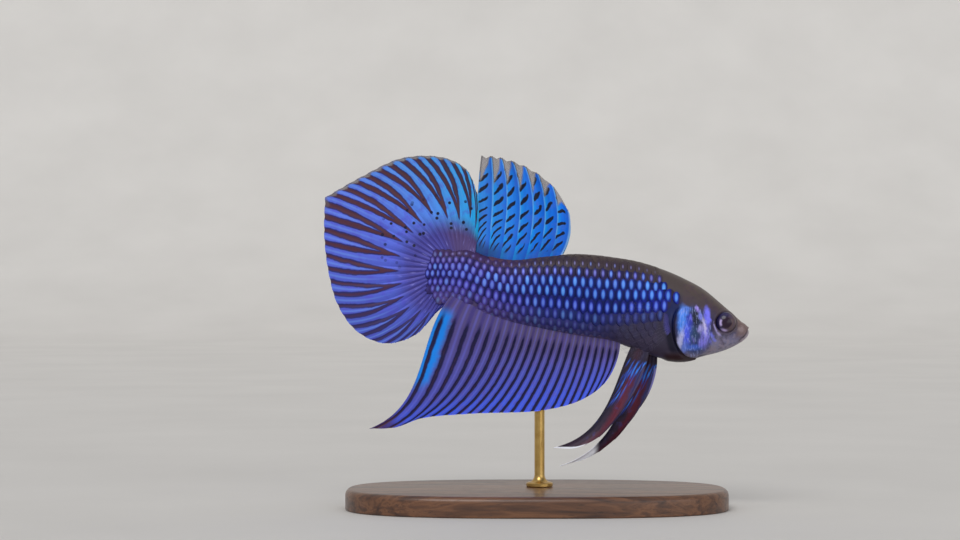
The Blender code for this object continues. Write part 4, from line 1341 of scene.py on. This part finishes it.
def make_fins(groups, caudal):
    rods = ray_tree()
    dorsal = Fin("dorsal", set_off(profile(*DORSAL_ROOT, "top"), -0.3))
    anal = Fin("anal", set_off(profile(*ANAL_ROOT, "bottom"), 0.3))
    make_fin(caudal, "caudal", "", caudal_material(groups), "fin_blue", rods)
    make_fin(dorsal, "dorsal", "", dorsal_material(groups), "fin_blue", rods)
    make_fin(anal, "anal", "", anal_material(groups), "fin_blue", rods)
    pelvic_paints = {"left": pelvic_material("pelvic_left", groups, white_from=9.4, hem=9.0, lead=0.85),
                     "right": pelvic_material("pelvic_right", groups, white_from=7.4, hem=0.5, lead=0.15)}
    pectoral_paint = pectoral_material(groups)
    for side, name in ((1, "left"), (-1, "right")):
        root = set_off(profile(*PELVIC_ROOTS[name], "bottom", 8), 0.6)
        pelvic = Fin("pelvic_" + name, root, [side * d for d in PELVIC_OUT])
        make_fin(pelvic, "pelvic", "_" + name, pelvic_paints[name], "fin_blue", rods)
        out = [side * d for d in PECTORAL_OUT]
        pectoral = Fin("pectoral", np.array(PECTORAL_ROOT), out, side * PECTORAL_DIP)
        make_fin(pectoral, "pectoral", "_" + name, pectoral_paint, "clear_fin", rods)


# --- eyes and stand -------------------------------------------------------------------

def turned_piece(name, rings, ends, sharp=180.0):
    """A closed piece from rings of points and the two points that close its ends."""
    rings = np.asarray(rings)
    piece = make_piece(name, np.vstack([rings.reshape(-1, 3), ends]), tube_faces(*rings.shape[:2]))
    form = bmesh.new()
    form.from_mesh(piece.data)
    bmesh.ops.recalc_face_normals(form, faces=form.faces)
    form.to_mesh(piece.data)
    form.free()
    piece.data.shade_smooth()
    if sharp < 180.0:
        piece.data.set_sharp_from_angle(angle=math.radians(sharp))
    return piece


def level_ring(middle, half, height, around, square=2.0):
    """A level ring round the middle: an ellipse, or squarer where square is over 2."""
    turn = np.arange(around) * 2 * math.pi / around
    x, y = (np.sign(way) * np.abs(way) ** (2 / square) for way in (np.cos(turn), np.sin(turn)))
    return np.stack([middle[0] + half[0] * x, middle[1] + half[1] * y, height + 0 * turn], axis=1)


def make_eyes(material):
    """Each eye is a finer copy of its solid."""
    lift = np.linspace(0.0, math.pi, 42)[1:-1, None]
    turn = np.arange(64)[None, :] * 2 * math.pi / 64
    shape = np.stack([np.sin(lift) * np.cos(turn), np.cos(lift) + 0 * turn,
                      np.sin(lift) * np.sin(turn)], axis=-1)
    for side in ("left", "right"):
        low, high, middle = box_of("eye_" + side)
        half = (high - low) / 2
        poles = middle + half * [(0, 1, 0), (0, -1, 0)]
        piece = turned_piece("eyeball_" + side, middle + half * shape, poles)
        finish_piece(piece, material, "eye_gloss", "eye_" + side)


def make_base(material):
    """A low plate with softly squared ends, a bevelled top edge and a foot rounded under."""
    low, high, middle = box_of("stand_base")
    half, height = (high - low) / 2, high[2] - low[2]
    under, over = 0.25, 0.9
    soft = np.linspace(0.0, math.pi / 2, 8)
    outline = [(under * (1 - math.sin(a)), under * (1 - math.cos(a))) for a in soft]
    outline += [(over * (1 - math.cos(a)), height - over + over * math.sin(a)) for a in soft]
    rings = [level_ring(middle, half - drawn_in, low[2] + z, 256, 2.6) for drawn_in, z in outline]
    piece = turned_piece("base_plate", rings, [(*middle[:2], low[2]), (*middle[:2], high[2])], 50)
    return finish_piece(piece, material, "walnut", "stand_base")


def make_rod(material):
    """The brass rod with its flanged foot and a small collar above it."""
    low, high, middle = box_of("stand_rod")
    top, wide, radius = box_of("stand_base")[1][2], (high[0] - low[0]) / 2, 0.8
    outline = [(radius, low[2]), (radius, top + 0.02)]
    outline += [(wide - 0.12, top + 0.02), (wide, top + 0.14)]
    outline += [(wide, top + 0.55), (wide - 0.12, top + 0.68)]
    bend = np.linspace(0.0, math.pi / 2, 10)
    outline += [(radius + 1.0 * (1 - math.sin(a)), top + 0.74 + 1.2 * (1 - math.cos(a))) for a in bend]
    outline += [(radius, high[2] - 1.2), (radius, high[2] - 0.1)]
    rings = [level_ring(middle, (r, r), z, 64) for r, z in outline]
    ends = [(*middle[:2], z) for _, z in (outline[0], outline[-1])]
    return finish_piece(turned_piece("rod", rings, ends, 35), material, "brass", "stand_rod")


# --- the setting ----------------------------------------------------------------------

MIDDLE = Vector((-8.9, 0.0, 37.4))  # what the camera looks straight at
CAMERA_DISTANCE = 400.0
VIEW_WIDTH = 150.7                  # how much of the middle plane it takes in
FLOOR_FRONT, FLOOR_REAR, FLOOR_SIDE, BACKDROP_BEND, BACKDROP_TOP = -2500.0, 900.0, 3000.0, 500.0, 2500.0


def make_floor(material):
    """A pale sweep that curves up into a backdrop well behind the model."""
    bend = np.linspace(0.0, math.pi / 2, 24)
    run = [(FLOOR_FRONT, 0.0), (FLOOR_REAR, 0.0)]
    run += [(FLOOR_REAR + BACKDROP_BEND * math.sin(a), BACKDROP_BEND * (1 - math.cos(a))) for a in bend[1:]]
    run.append((FLOOR_REAR + BACKDROP_BEND, BACKDROP_TOP))
    points = [(x, y, z - 0.02) for y, z in run for x in (-FLOOR_SIDE, FLOOR_SIDE)]
    faces = [(2 * i, 2 * i + 1, 2 * i + 3, 2 * i + 2) for i in range(len(run) - 1)]
    floor = make_piece("floor", points, faces)
    floor.data.materials.append(material)


def make_light(name, place, strength, softness):
    """A broad soft lamp from the direction of the place, as wide as the softness in degrees."""
    data = bpy.data.lights.new(name, "SUN")
    data.energy, data.angle = strength, math.radians(softness)
    light = new_object(name, data)
    light.location = Vector(place) * MM
    light.rotation_euler = (MIDDLE * MM - light.location).to_track_quat("-Z", "Y").to_euler()


def make_camera():
    data = bpy.data.cameras.new("camera")
    data.sensor_width = 36.0
    data.lens = 36.0 * CAMERA_DISTANCE / VIEW_WIDTH
    data.clip_start, data.clip_end = 0.01, 20.0
    camera = new_object("camera", data)
    camera.location = Vector((MIDDLE.x, -CAMERA_DISTANCE, MIDDLE.z)) * MM
    camera.rotation_euler = (math.pi / 2, 0.0, 0.0)
    bpy.context.scene.camera = camera


def make_setting():
    world = bpy.data.worlds.new("studio")
    world.use_nodes = True
    feed(world.node_tree.nodes["Background"], Color=(0.92, 0.94, 1.0, 1.0), Strength=0.46)
    bpy.context.scene.world = world
    bpy.context.scene.view_settings.view_transform = "Standard"
    make_floor(floor_material())
    make_light("key", (-160, -420, 520), 1.3, 35)
    make_light("fill", (380, -420, 20), 0.9, 60)
    make_light("rim", (-200, 460, 420), 0.6, 45)
    make_camera()


def main():
    groups = {group.name: group for group in (soft_patch_group(), ray_bands_group(), fine_grain_group())}
    make_setting()
    make_skin(skin_material(groups["soft_patch"], groups["fine_grain"]))
    caudal = caudal_run()
    roots, tree, paint_for_scales = scale_roots(caudal), scale_tree(), scale_material()
    make_scales("scales_left", 1, roots, tree, paint_for_scales)
    make_scales("scales_right", -1, roots, tree, paint_for_scales)
    make_fins(groups, caudal)
    make_eyes(eye_material())
    make_base(walnut_material())
    make_rod(brass_material())


main()
bpy.context.view_layer.update()
